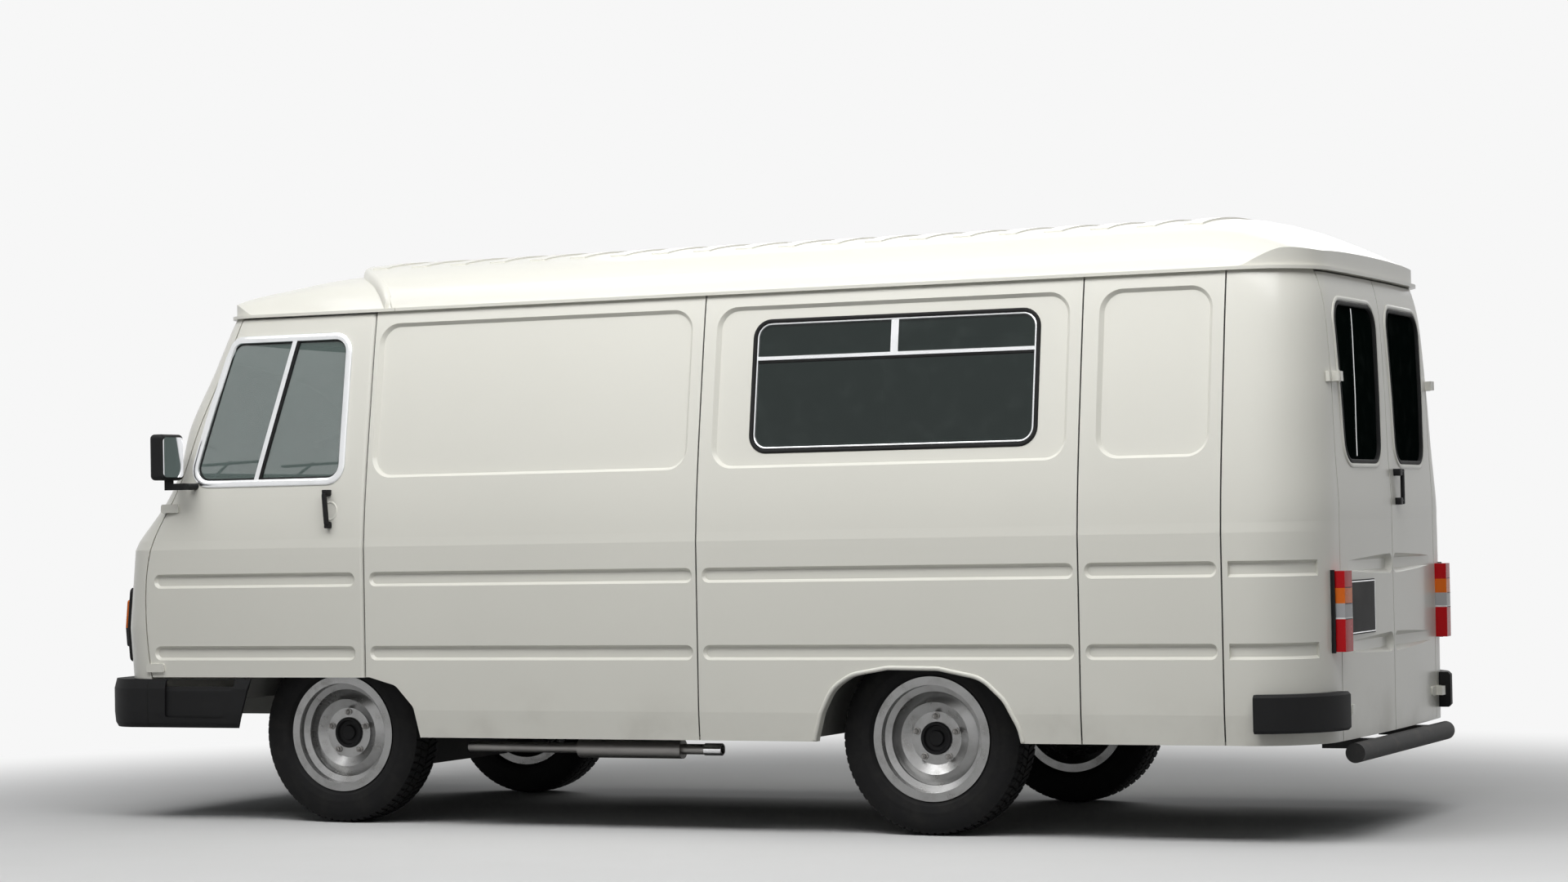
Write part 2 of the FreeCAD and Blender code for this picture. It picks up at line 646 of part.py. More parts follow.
# Glass, each pane a little smaller than its opening and set in from the skin
gap = v("glass_gap")
pane = GLASS_SKIN.common(end_prism(screen_outline(-gap), v("screen_radius") - gap, False))
add("windscreen", pane)
points = [(-px, pz) for px, pz in door_window_outline(-gap)]
pane = GLASS_SKIN.common(side_prism(points, v("door_window_radius") - gap))
add("cab_window_left", pane)
add("cab_window_right", mirrored(pane))
inset = v("field_depth") + v("glass_inset")
pane = envelope(inset).cut(envelope(inset + v("glass_thickness")))
pane = pane.common(side_prism(widened(window_edge, -gap), v("side_window_radius") - gap))
add("side_windows", pair(pane))
pane = GLASS_SKIN.common(end_prism(rear_window_outline(-gap), v("rear_window_radius") - gap, True))
add("rear_window_left", pane)
add("rear_window_right", mirrored(pane))


# Half of the roof's cross-section: shares of the half width and of the crown height. Its foot is
# a little wider than the plan that trims it.
ROOF_SHARES = ((1.003, 0), (0.989, 0.19), (0.948, 0.45), (0.85, 0.64), (0.66, 0.79), (0.4, 0.89), (0, 0.94))


def roof_section(x, half, crown, offset):
    """Closed cross-section of the roof at one place along the vehicle."""
    left = [Vector(x, (half - offset) * wide, HIGH + (crown - offset) * up) for wide, up in ROOF_SHARES]
    right = [Vector(p.x, -p.y, p.z) for p in left[-2::-1]]
    curve = Part.BSplineCurve()
    curve.interpolate(left + right)
    if not offset:
        return Part.Wire([curve.toShape(), Part.makeLine(right[-1], left[0])])
    drop = Z * -v("overrun")
    feet = [right[-1], right[-1] + drop, left[0] + drop, left[0]]
    return Part.Wire([curve.toShape()] + [Part.makeLine(a, b) for a, b in zip(feet, feet[1:])])


def roof_loft(stations, offset, ruled):
    """Loft of roof sections: places back from the front axle and crown heights."""
    half = half_width(HIGH)
    sections = [roof_section(at(back), half, crown, offset) for back, crown in stations]
    return Part.makeLoft(sections, True, ruled)


def gutter_plan(offset):
    """Solid over the whole height inside the gutter's outline, moved in by an offset."""
    _, half, nose_reach, _ = STATIONS[-1]
    level = HIGH - (v("overrun") if offset > 0 else 0)
    wire = plan_outline(level, half, nose_reach, v("roof_tail"), offset)
    return Part.Face(wire).extrude(Z * v("overall_length"))


def crown_arc(offset):
    """Region behind the main roof's front joint, which bows forward in the middle."""
    side, tip = v("roof_joint_side"), v("roof_joint_middle")
    half = half_width(HIGH)
    bow = side - tip
    radius = (half ** 2 + bow ** 2) / (2 * bow)
    centre = Vector(at(tip) - radius - offset, 0, 0)
    disc = Part.makeCylinder(radius, v("overall_length"), centre)
    return disc.fuse(box(-FAR, centre.x, -radius, radius, 0, v("overall_length")))


FULL = v("roof_crown")
# The tail falls away in shares of its length and of the full crown height
TAIL_SHARES = (
    (0, 1), (0.12, 0.99), (0.24, 0.955), (0.37, 0.89), (0.52, 0.78), (0.68, 0.62), (0.84, 0.42), (1, 0.2),
)
tail_length = v("roof_fall") + v("overrun")
MAIN_STATIONS = [(v("roof_joint_middle") - v("overrun"), FULL)] + [
    (v("roof_tail_start") + along * tail_length, rise * FULL) for along, rise in TAIL_SHARES
]
# Crown of the cab roof from the windscreen back: shares of the nose reach and of the full crown
CAB_SHARES = (
    (0.6274, 0.112), (0.5598, 0.248), (0.473, 0.472), (0.3378, 0.632),
    (0.1931, 0.748), (0, 0.816), (-0.3089, 0.84),
)
CAB_STATIONS = [(-along * v("nose_reach"), crown * FULL) for along, crown in CAB_SHARES]
roof_inside = roof_loft(MAIN_STATIONS, v("roof_wall"), True).common(gutter_plan(v("roof_wall")))
roof = roof_loft(MAIN_STATIONS, 0, True).common(gutter_plan(0))
rib_count = int((v("roof_tail_start") - v("rib_start")) / v("rib_pitch")) + 1
for index in range(rib_count):
    start = at(v("rib_start") + index * v("rib_pitch"))
    half = v("rib_half_length")
    face = Part.Face(roof_section(start, half_width(HIGH), FULL + v("rib_height"), 0))
    rib = face.extrude(X * -v("rib_width"))
    roof = roof.fuse(rib.common(box(-FAR, FAR, -half, half, HIGH, FAR)))
lip = gutter_plan(-v("gutter_lip")).common(box(-FAR, FAR, -FAR, FAR, HIGH, HIGH + v("gutter_thickness")))
roof = roof.fuse(lip).cut(roof_inside)
roof = roof.common(crown_arc(0))
add("main_roof", roof)

cab_roof = roof_loft(CAB_STATIONS, 0, False).common(gutter_plan(0)).fuse(lip)
cab_roof = cab_roof.cut(roof_loft(CAB_STATIONS, v("roof_wall"), False).common(gutter_plan(v("roof_wall"))))
cab_roof = cab_roof.cut(crown_arc(-GAP / 2))
add("cab_roof", cab_roof)

# Grille panel round the lamps
ahead = box(at(0), FAR, -FAR, FAR, 0, FAR)
grille_edge = v("grille_half")
outline = rectangle(-grille_edge, grille_edge, v("grille_bottom"), v("grille_top"))
proud = v("grille_proud")
face_layer = envelope(-proud).cut(envelope(-gap)).common(end_prism(outline, v("grille_flange"), False))
opening = widened(grille_opening, -gap)
inner_layer = envelope(-gap).cut(envelope(v("grille_depth")))
inner_layer = inner_layer.common(end_prism(opening, v("grille_flange") - gap, False))
grille = face_layer.fuse(inner_layer).common(ahead)
lamp_y, lamp_z = v("headlamp_spacing") / 2, (v("grille_bottom") + v("grille_top")) / 2
for side in (1, -1):
    bore = Part.makeCylinder(v("headlamp_radius") + gap, FAR, Vector(at(0), side * lamp_y, lamp_z), X)
    grille = grille.cut(bore)
slat_space = v("grille_slat_half")
slat_count = int(v("grille_slats"))
slat_pitch = (v("grille_top") - v("grille_bottom") - 2 * v("grille_flange")) / slat_count
for index in range(slat_count):
    low_edge = v("grille_bottom") + v("grille_flange") + index * slat_pitch
    half_bar = v("slat_bar") / 2
    slot = rectangle(-slat_space, slat_space, low_edge + half_bar, low_edge + slat_pitch - half_bar)
    grille = grille.cut(end_prism(slot, v("slat_bar") / 2, False))
add("grille_panel", grille)

lens = envelope(v("lamp_inset")).cut(envelope(v("lamp_inset") + v("lamp_depth"))).common(ahead)
lamps = []
for side in (1, -1):
    rod = Part.makeCylinder(v("headlamp_radius"), FAR, Vector(at(0), side * lamp_y, lamp_z), X)
    lamps.append(lens.common(rod))
add("headlamps", Part.makeCompound(lamps))

signal_layer = envelope(-v("indicator_proud")).cut(envelope(-proud)).common(ahead)
outline = rectangle(v("indicator_inner"), v("indicator_outer"), v("indicator_bottom"), v("indicator_top"))
add("front_indicators", pair(signal_layer.common(end_prism(outline, v("slat_bar"), False))))


def ring(levels, half, nose_reach, tail_reach):
    """Solid lofted through plan outlines; the levels are heights and how far each stands proud."""
    wires = [plan_outline(height, half, nose_reach, tail_reach, -proud) for height, proud in levels]
    return Part.makeLoft(wires, True, True)


# Front bumper: a deep moulding that wraps the nose and ends ahead of the wheel
broken = v("edge_break")
sill, door_sill = v("sill_height"), v("door_sill_height")
bumper_half, bumper_reach = half_width(sill) + v("bumper_proud"), v("front_overhang")
# Share of the bumper's height, and how far its edges draw in as shares of the under-edge's draw
BUMPER_SHARES = ((0, 1), (0.205, 0.13), (0.385, 0), (0.8, 0), (0.97, 0.33))
bumper_rise = door_sill - sill - v("bumper_gap")
bumper_levels = [
    (sill + v("bumper_gap") + up * bumper_rise, -draw * v("bumper_draw")) for up, draw in BUMPER_SHARES
]


def bumper_form(inset):
    """Closed outer form of the bumper, moved in by an inset."""
    levels = [(height - inset, proud - inset) for height, proud in bumper_levels]
    return ring(levels, bumper_half, bumper_reach, v("tail_reach"))


wall = v("bumper_wall")
hollow = bumper_form(wall)
hollow = hollow.fuse(hollow.translated(Z * -wall))
bumper = bumper_form(0).cut(hollow)
# Corners of the recess in the bumper's side: shares of the nose reach and of the bumper's height
RECESS_SHARES = ((0.7, 0.97), (0.703, 0.31), (0.437, 0.29), (0.379, 0.97))
recess = [(-along * v("nose_reach"), sill + up * bumper_rise) for along, up in RECESS_SHARES]
opening_cut = side_prism(recess, v("edge_break"))
backing = bumper_form(v("recess_depth")).cut(bumper_form(v("recess_depth") + wall))
backing = backing.common(side_prism(widened(recess, v("recess_margin")), v("edge_break")))
for turned in (lambda shape: shape, mirrored):
    bumper = bumper.cut(turned(opening_cut)).fuse(turned(backing))
bumper = bumper.cut(envelope(-gap)).common(ahead)
low_start, high_start = v("bumper_low_start"), v("bumper_high_start")
over, under = door_sill + v("overrun"), sill - v("overrun") * 4
behind = [
    (-low_start + v("overrun"), under), (-high_start, door_sill), (-high_start, over),
    (FAR, over), (FAR, under),
]
keep_off = prism(behind, v("edge_break"), -FAR, FAR)
bumper = bumper.cut(seat_on(keep_off, Vector(at(0), 0, 0), X * -1, Z))
add("front_bumper", bumper)

# Rear corner bumpers wrap from the side to beside the doors
low, high = v("corner_bumper_low"), v("corner_bumper_high")
proud = v("corner_bumper_proud")
levels = [(low, proud - broken), (low + broken, proud), (high - broken, proud), (high, proud - broken)]
wrap = ring(levels, half_width(low), interpolate(low, 2), interpolate(low, 3)).cut(envelope(-gap))
wrap = wrap.common(box(-FAR, at(v("corner_bumper_start")), v("corner_bumper_end"), FAR, low, high))
add("rear_corner_bumpers", pair(wrap))

# Tail lamps stand on the corner panels beside the doors
lamp = envelope(-v("tail_lamp_proud")).cut(envelope(-gap))
lamp = lamp.common(box(
    -FAR, at(v("corner_seam")), v("tail_lamp_inner"), v("tail_lamp_outer"),
    v("tail_lamp_low"), v("tail_lamp_high"),
))
add("tail_lamps", pair(lamp))

# Rear step: a tube on two brackets under the rails
step = Part.makeCylinder(
    v("step_radius"), 2 * v("step_half_length"),
    Vector(at(v("step_back")), -v("step_half_length"), v("step_height")), Y,
)
rail_inner = v("rail_spacing") / 2 - v("rail_width") / 2
rail_outer = rail_inner + v("rail_width")
rail_top = v("load_floor_height") - v("floor_thickness")
rail_low = rail_top - v("rail_height")
rail_end = v("rail_end")
for side in (1, -1):
    inner, outer = sorted((side * rail_inner, side * rail_outer))
    under_door, foot = v("sill_height") - v("step_clearance"), at(rail_end - v("step_foot"))
    step = step.fuse(box(at(v("step_back")), foot, inner, outer, v("step_height"), under_door))
    step = step.fuse(box(at(rail_end), foot, inner, outer, v("step_height"), rail_low))
add("rear_step", step)

# Platform: load floor, riser, cab floor and the two rails below them as one welded piece
floor_edge = envelope(v("wall") + gap)
plate = v("floor_thickness")
load_top, cab_top = v("load_floor_height"), v("cab_floor_height")
cab_rear, cab_front = v("cab_rear"), v("cab_floor_front")
load_floor = floor_edge.common(box(-FAR, at(cab_rear), -FAR, FAR, load_top - plate, load_top))
cab_floor = floor_edge.common(box(at(cab_rear), at(-cab_front), -FAR, FAR, cab_top - plate, cab_top))
riser = floor_edge.common(box(at(cab_rear), at(cab_rear) + plate, -FAR, FAR, load_top - plate, cab_top))
platform = load_floor.fuse(cab_floor).fuse(riser)
for side in (1, -1):
    inner, outer = sorted((side * rail_inner, side * rail_outer))
    platform = platform.fuse(box(at(rail_end), at(-v("rail_front")), inner, outer, rail_low, rail_top))
for back in (cab_rear + plate, v("post_depth") - cab_front):
    post = box(at(back), at(back) + v("post_depth"), -rail_outer, rail_outer, rail_top, cab_top - plate)
    platform = platform.fuse(post)


def housing(axle_x, inner, foot):
    """Left wheel housing as a thin shell down to its foot, and the space that the floor leaves for it."""
    radius, skin = v("housing_radius"), v("housing_wall")
    centre = Vector(axle_x, inner, v("tyre_radius"))
    form = Part.makeCylinder(radius, FAR, centre, Y)
    form = form.common(floor_edge).common(box(-FAR, FAR, -FAR, FAR, foot, FAR))
    hollow = Part.makeCylinder(radius - skin, FAR, centre + Y * skin, Y)
    seat = Part.makeCylinder(radius + gap, FAR, centre - Y * gap, Y)
    below = Part.makeCylinder(radius - skin, 2 * FAR, centre - Y * FAR, Y)
    below = below.common(box(-FAR, FAR, -FAR, FAR, -FAR, load_top - plate))
    return form.cut(hollow).cut(below), seat


cover_x = at(-v("engine_forward"))
cover_half, cover_reach = v("engine_cover_width") / 2, v("engine_cover_length") / 2
cover_skin = v("housing_wall")
cover = box(
    cover_x - cover_reach, cover_x + cover_reach, -cover_half, cover_half,
    cab_top - plate, v("engine_cover_height"),
)
cover = cover.cut(box(
    cover_x - cover_reach + cover_skin, cover_x + cover_reach - cover_skin,
    -cover_half + cover_skin, cover_half - cover_skin,
    rail_top, v("engine_cover_height") - cover_skin,
))
housings = []
for axle_x, inner, foot in (
    (FRONT_AXLE, v("front_housing_inner"), load_top - plate),
    (REAR_AXLE, v("rear_housing_inner"), LOW + v("housing_wall")),
):
    shell, seat = housing(axle_x, inner, foot)
    housings += [shell, mirrored(shell)]
    platform = platform.cut(seat).cut(mirrored(seat))
    cover = cover.cut(seat).cut(mirrored(seat))
platform = platform.cut(box(
    cover_x - cover_reach - gap, cover_x + cover_reach + gap, -cover_half - gap, cover_half + gap,
    rail_top + gap, FAR,
))
add("wheel_housings", Part.makeCompound(housings))
add("engine_cover", cover)
for side in (1, -1):
    mouth = Vector(at(v("tow_hole_back")), side * v("rail_spacing") / 2, rail_low)
    platform = platform.cut(Part.makeCylinder(v("tow_hole_radius"), v("tow_hole_depth"), mouth, Z))
add("platform", platform)

# Engine: one plain block at its real place under the cab
half_length, half_engine = v("engine_length") / 2, v("engine_width") / 2
engine = box(
    cover_x - half_length, cover_x + half_length, -rail_inner + gap, rail_inner - gap,
    rail_low, v("engine_bottom") + v("engine_height"),
)
engine = engine.common(box(-FAR, FAR, -half_engine, half_engine, 0, FAR))
arm_half = v("arm_thickness")
mounts = box(
    cover_x - arm_half, cover_x + arm_half, -rail_inner + gap, rail_inner - gap,
    rail_low, rail_low + arm_half,
)
sump = box(
    cover_x - half_length / 2, cover_x + half_length / 2, -half_engine / 2, half_engine / 2,
    v("engine_bottom"), rail_low,
)
add("engine", engine.fuse(mounts).fuse(sump))

# Front axle: crossmember, lower arms and upper arms that hold the knuckles
axle_z = v("tyre_radius")
half_upright = v("knuckle_height") / 2
arm = v("arm_thickness")
kingpin = v("kingpin_centre")
arm_half = v("upright_width") / 2
lower_top = axle_z - half_upright - gap
upper_low = axle_z + half_upright + gap
axle_piece = box(
    FRONT_AXLE - arm, FRONT_AXLE + arm, -rail_outer, rail_outer, lower_top - arm, rail_low,
)
for side in (1, -1):
    inner, outer = sorted((side * (rail_outer - arm), side * (kingpin + arm_half)))
    for base in (lower_top - 0.5 * arm, upper_low):
        reach = box(FRONT_AXLE - arm_half, FRONT_AXLE + arm_half, inner, outer, base, base + 0.5 * arm)
        axle_piece = axle_piece.fuse(reach)
rails = box(-FAR, FAR, rail_inner - gap, rail_outer + gap, rail_low, rail_top + plate)
axle_piece = axle_piece.cut(rails).cut(mirrored(rails))
tie = box(
    FRONT_AXLE - arm_half, FRONT_AXLE + arm_half, rail_outer + gap, rail_outer + arm,
    lower_top, upper_low,
)
axle_piece = axle_piece.fuse(tie).fuse(mirrored(tie))
low_tie = box(
    FRONT_AXLE - arm_half, FRONT_AXLE + arm_half, rail_inner, rail_outer + arm,
    lower_top - arm, lower_top,
)
axle_piece = axle_piece.fuse(low_tie).fuse(mirrored(low_tie))
add("front_axle", axle_piece)

# Rear axle: a tube with stub ends under the rails
drum_inner = v("wheel_centre") - v("drum_back")
stub_end = v("wheel_centre") + v("stub_end_back")
beam_end = drum_inner - v("stub_end_back")
tube = Part.makeCylinder(v("rear_beam_radius"), 2 * beam_end, Vector(REAR_AXLE, -beam_end, axle_z), Y)
stub = Part.makeCylinder(v("stub_radius"), 2 * stub_end, Vector(REAR_AXLE, -stub_end, axle_z), Y)
rear_axle = tube.fuse(stub)
for side in (1, -1):
    inner, outer = sorted((side * rail_inner, side * rail_outer))
    pad = box(REAR_AXLE - v("spring_pad"), REAR_AXLE + v("spring_pad"), inner, outer, axle_z, rail_low)
    rear_axle = rear_axle.fuse(pad)
add("rear_axle", rear_axle)

# Steering knuckles: upright with a stub shaft and a steering arm
upright = box(
    FRONT_AXLE - arm_half, FRONT_AXLE + arm_half, kingpin - arm_half, kingpin + arm_half,
    axle_z - half_upright, axle_z + half_upright,
)
shaft = Part.makeCylinder(v("stub_radius"), stub_end - kingpin, Vector(FRONT_AXLE, kingpin, axle_z), Y)
flange_foot = Vector(FRONT_AXLE, kingpin - v("hub_thickness") / 2, axle_z)
flange = Part.makeCylinder(v("hub_radius") * 0.7, v("hub_thickness"), flange_foot, Y)
steer = box(
    FRONT_AXLE - v("steering_arm"), FRONT_AXLE, kingpin - arm_half, kingpin - arm_half + v("hub_thickness"),
    axle_z - v("steering_arm_drop"), axle_z - v("steering_arm_drop") / 2,
)
knuckle = upright.fuse(shaft).fuse(flange).fuse(steer)
add("steering_knuckle_left", knuckle)
add("steering_knuckle_right", mirrored(knuckle))


def bound(kind, name, **expressions):
    """Document object whose sizes follow the sheet."""
    feature = doc.addObject(kind, name)
    for prop, expression in expressions.items():
        feature.setExpression(prop.replace("__", "."), expression)
    return feature


AXLE = "(Sizes.overall_length / 2 - Sizes.front_overhang)"


def cylinder_along(name, radius, length, x, y, z, axis):
    """Cylinder bound to the sheet, lying along an axis from a starting place."""
    feature = bound("Part::Cylinder", name, Radius=radius, Height=length)
    turn = Rotation(Z, axis)
    feature.Placement = Placement(ORIGIN, turn)
    for part, expression in (("x", x), ("y", y), ("z", z)):
        feature.setExpression("Placement.Base." + part, expression)
    return feature


# Exhaust under the left side: front pipe, silencer and an open tail pipe
def exhaust():
    silencer = cylinder_along(
        "Silencer", "Sizes.silencer_radius", "Sizes.silencer_end - Sizes.silencer_start",
        AXLE + " - Sizes.silencer_end", "Sizes.exhaust_side", "Sizes.exhaust_height", X,
    )
    pipe = cylinder_along(
        "ExhaustPipe", "Sizes.pipe_radius", "Sizes.pipe_end - Sizes.pipe_start",
        AXLE + " - Sizes.pipe_end", "Sizes.exhaust_side", "Sizes.exhaust_height", X,
    )
    bore = cylinder_along(
        "TailPipeBore", "Sizes.pipe_bore", "Sizes.pipe_end - Sizes.silencer_end",
        AXLE + " - Sizes.pipe_end", "Sizes.exhaust_side", "Sizes.exhaust_height", X,
    )
    hanger = bound(
        "Part::Box", "ExhaustHanger", Length="Sizes.silencer_radius", Width="Sizes.hub_thickness",
        Height="Sizes.load_floor_height - Sizes.floor_thickness - Sizes.exhaust_height",
        Placement__Base__x=AXLE + " - (Sizes.silencer_start + Sizes.silencer_end) / 2",
        Placement__Base__y="Sizes.exhaust_side - Sizes.hub_thickness / 2",
        Placement__Base__z="Sizes.exhaust_height",
    )
    fused = doc.addObject("Part::MultiFuse", "ExhaustForm")
    fused.Shapes = [silencer, pipe, hanger]
    cut = doc.addObject("Part::Cut", "exhaust")
    cut.Base, cut.Tool = fused, bore
    nodes["exhaust"] = cut


exhaust()

tank = bound(
    "Part::Box", "TankForm", Length="Sizes.tank_length", Width="Sizes.tank_width", Height="Sizes.tank_drop",
    Placement__Base__x=AXLE + " - Sizes.tank_start - Sizes.tank_length",
    Placement__Base__y="-Sizes.rail_spacing / 2 - Sizes.rail_width / 2 - Sizes.glass_gap - Sizes.tank_width",
    Placement__Base__z="Sizes.load_floor_height - Sizes.floor_thickness - Sizes.tank_drop",
)
doc.recompute()
rounded_tank = doc.addObject("Part::Fillet", "fuel_tank")
rounded_tank.Base = tank
rounded_tank.Edges = [(number, v("mirror_radius"), v("mirror_radius")) for number in range(1, 13)]
nodes["fuel_tank"] = rounded_tank

# Cab fittings
profile = [
    (v("dash_front"), v("dash_low")), (v("dash_front"), v("dash_high")),
    (v("dash_back") + v("dash_round"), v("dash_high")), (v("dash_back"), v("dash_high") - v("dash_round")),
    (v("dash_back") + v("dash_round"), v("dash_low")),
]
points = [Vector(at(-forward), -v("dash_half_width"), height) for forward, height in profile]
dash = Part.Face(Part.makePolygon(points + points[:1])).extrude(Y * (2 * v("dash_half_width")))
dash = dash.common(envelope(v("wall") + gap))
add("dashboard", dash)

wheel_place = Vector(at(-v("steering_forward")), v("steering_side"), v("steering_height"))
tilt = Rotation(Y, -v("steering_lean"))
steering = Part.makeTorus(v("steering_radius"), v("steering_rim"))
boss = Part.makeCylinder(2 * v("column_radius"), 2 * v("steering_rim"), Z * (-2 * v("steering_rim")))
steering = steering.fuse(boss)
for turn in (90, 210, 330):
    spoke = box(0, v("steering_radius"), -v("steering_rim"), v("steering_rim"), -v("steering_rim"), 0)
    steering = steering.fuse(spoke.rotated(ORIGIN, Z, turn))
column = Part.makeCylinder(v("column_radius"), v("steering_column"), Z * -v("steering_column"))
steering = steering.fuse(column)
steering.Placement = Placement(wheel_place, tilt)
steering = steering.cut(floor_edge.common(box(-FAR, FAR, -FAR, FAR, 0, cab_top + gap)))
add("steering_wheel", steering)


def seat_pad(length, width, height):
    """Plain closed form of one soft pad, its edges rounded."""
    pad = Part.makeBox(length, width, height, Vector(0, -width / 2, 0))
    return pad.makeFillet(v("cushion_round"), pad.Edges)


def seat(side):
    """Cushion and backrest of one seat, and the base below them."""
    place = Vector(at(-v("seat_forward")) - v("seat_length"), side * v("seat_side"), v("cushion_height"))
    cushion = seat_pad(v("seat_length"), v("seat_width"), v("cushion_thickness"))
    cushion.translate(place - Z * v("cushion_thickness"))
    back = seat_pad(v("back_thickness"), v("seat_width"), v("back_height"))
    lean, curve = math.radians(v("back_lean")), v("cushion_round")
    reach = (v("back_thickness") - curve) * math.cos(lean) - curve * math.sin(lean) + curve + gap
    seat_on_cushion = place + Vector(-reach, 0, -0.9 * v("cushion_thickness"))
    back.Placement = Placement(seat_on_cushion, Rotation(Y, -v("back_lean")))
    top = v("cushion_height") - v("cushion_thickness") - gap
    base = box(
        place.x, place.x + v("seat_length") - v("seat_base_margin"),
        place.y - v("seat_width") / 2 + v("seat_base_margin"),
        place.y + v("seat_width") / 2 - v("seat_base_margin"),
        v("cab_floor_height") + gap, top,
    )
    return cushion, back, base


pads, bases = [], []
for side in (1, -1):
    cushion, back, base = seat(side)
    pads += [cushion, back]
    bases.append(base)
arch_foot = Vector(FRONT_AXLE, -FAR, v("tyre_radius"))
arch_space = Part.makeCylinder(v("housing_radius") + gap, 2 * FAR, arch_foot, Y)
cover_space = box(-FAR, FAR, -cover_half - gap, cover_half + gap, 0, v("engine_cover_height") + gap)
legs = Part.makeCompound([base.cut(arch_space).cut(cover_space) for base in bases])
add("seat_pads", Part.makeCompound(pads))
add("seat_bases", legs)

# Mirrors on arms at the front corner of each door window
mirror_low = v("mirror_bottom")
head = Part.makeBox(
    v("mirror_depth"), v("mirror_width"), v("mirror_tall"),
    Vector(at(-v("mirror_forward")) - v("mirror_depth") / 2, v("mirror_inner"), mirror_low),
)
head = head.makeFillet(v("mirror_radius"), head.Edges)
door_face = envelope(-gap)
stay = Part.makeCylinder(
    v("mirror_arm") / 2, v("mirror_inner") + v("mirror_width") / 2 - v("screen_low_half_width"),
    Vector(at(-v("mirror_foot")), v("screen_low_half_width"), mirror_low - v("mirror_arm")), Y,
)
foot_end = v("mirror_inner") + v("mirror_width") / 2
bar = box(
    at(-v("mirror_foot")) - v("mirror_arm") / 2, at(-v("mirror_forward")) + v("mirror_arm") / 2,
    foot_end - v("mirror_arm"), foot_end,
    mirror_low - 1.5 * v("mirror_arm"), mirror_low - v("mirror_arm") / 2,
)
post = box(
    at(-v("mirror_forward")) - v("mirror_arm") / 2, at(-v("mirror_forward")) + v("mirror_arm") / 2,
    foot_end - v("mirror_arm"), foot_end, mirror_low - v("mirror_arm"), mirror_low + v("mirror_radius"),
)
mirror = head.fuse(stay).fuse(bar).fuse(post).cut(door_face)
add("mirror_left", mirror)
add("mirror_right", mirrored(mirror))


def sketch_on(body, role, name, points):
    """Closed sketch through points, each fixed to the origin by two dimensions."""
    sketch = body.newObject("Sketcher::SketchObject", name)
    plane = next(f for f in body.Origin.OriginFeatures if f.Role == role)
    sketch.AttachmentSupport = [(plane, "")]
    sketch.MapMode = "FlatFace"
    count = len(points)
    for index in range(count):
        start, stop = points[index], points[(index + 1) % count]
        sketch.addGeometry(Part.LineSegment(Vector(*start, 0), Vector(*stop, 0)), False)
    for index in range(count):
        sketch.addConstraint(Sketcher.Constraint("Coincident", index, 2, (index + 1) % count, 1))
    for index, (across, up) in enumerate(points):
        sketch.addConstraint(Sketcher.Constraint("DistanceX", -1, 1, index, 1, across))
        sketch.addConstraint(Sketcher.Constraint("DistanceY", -1, 1, index, 1, up))
    return sketch


def revolved_body(label, points):
    """Body turned about its own Y axis from a profile of places along the axle and radii."""
    body = doc.addObject("PartDesign::Body", label)
    sketch = sketch_on(body, "YZ_Plane", label + "_profile", points)
    turned = body.newObject("PartDesign::Revolution", label + "_turned")
    turned.Profile = sketch
    turned.ReferenceAxis = (sketch, ["H_Axis"])
    turned.Angle = 360
    return body


def rim_profile():
    """Pressed wheel with its drop well, dished disc and hub, from the outer flange inwards."""
    half, flange = v("rim_width") / 2, v("rim_flange_radius")
    wall, seat_radius, well = v("rim_wall"), v("tyre_bore_radius"), v("rim_well_radius")
    face = half - v("hub_plane_inset")
    ring, drum, back = v("rim_dish_radius"), v("drum_radius"), -v("drum_back")
    stub = v("stub_radius") + gap
    pocket = v("stub_end_back") + v("rim_wall")
    inside = well - wall
    bead = seat_radius + v("tyre_bead_rise")
    return [
        (half, flange), (half - wall, flange), (half - wall, bead), (half - 5 * wall, seat_radius),
        (half - 6.5 * wall, well), (wall - half / 2, well), (5 * wall - half, seat_radius),
        (wall - half, bead), (wall - half, flange), (-half, flange),
        (-half, seat_radius - wall), (4 * wall - half, seat_radius - 1.3 * wall), (-half / 2 + wall, inside),
        (face - 2.5 * wall, inside), (face + 1.4 * wall, ring + wall), (face - wall, drum),
        (back, drum), (back, stub), (pocket, stub), (pocket, v("hub_hole_radius")),
        (face, v("hub_hole_radius")), (face, drum - wall), (face + 2.6 * wall, ring),
        (face, inside), (half - 5.5 * wall, inside), (half - 4 * wall, seat_radius - 1.3 * wall),
        (half, seat_radius - wall),
    ]


def tyre_profile():
    """Tyre from bead to bead with its bulged walls and crowned tread."""
    half, radius, bore = v("tyre_width") / 2, v("tyre_radius"), v("tyre_bore_radius")
    bead = v("rim_width") / 2 - v("rim_wall") - v("seat_gap")
    tread = v("tread_width") / 2
    lip = v("rim_flange_radius") + v("tyre_clearance")
    wall_shares = ((0.93, 0.12), (0.99, 0.3), (1, 0.45), (0.985, 0.62), (0.93, 0.8), (0.85, 0.92))
    right = [(bead, bore + v("tyre_bead_rise") + v("seat_gap")), (bead, lip)]
    right += [(half * wide, lip + (radius - lip) * up) for wide, up in wall_shares]
    fall = v("tread_fall")
    right += [(tread, radius - fall), (tread * 0.55, radius - fall / 4), (tread * 0.15, radius)]
    return right + [(-across, up) for across, up in reversed(right)]


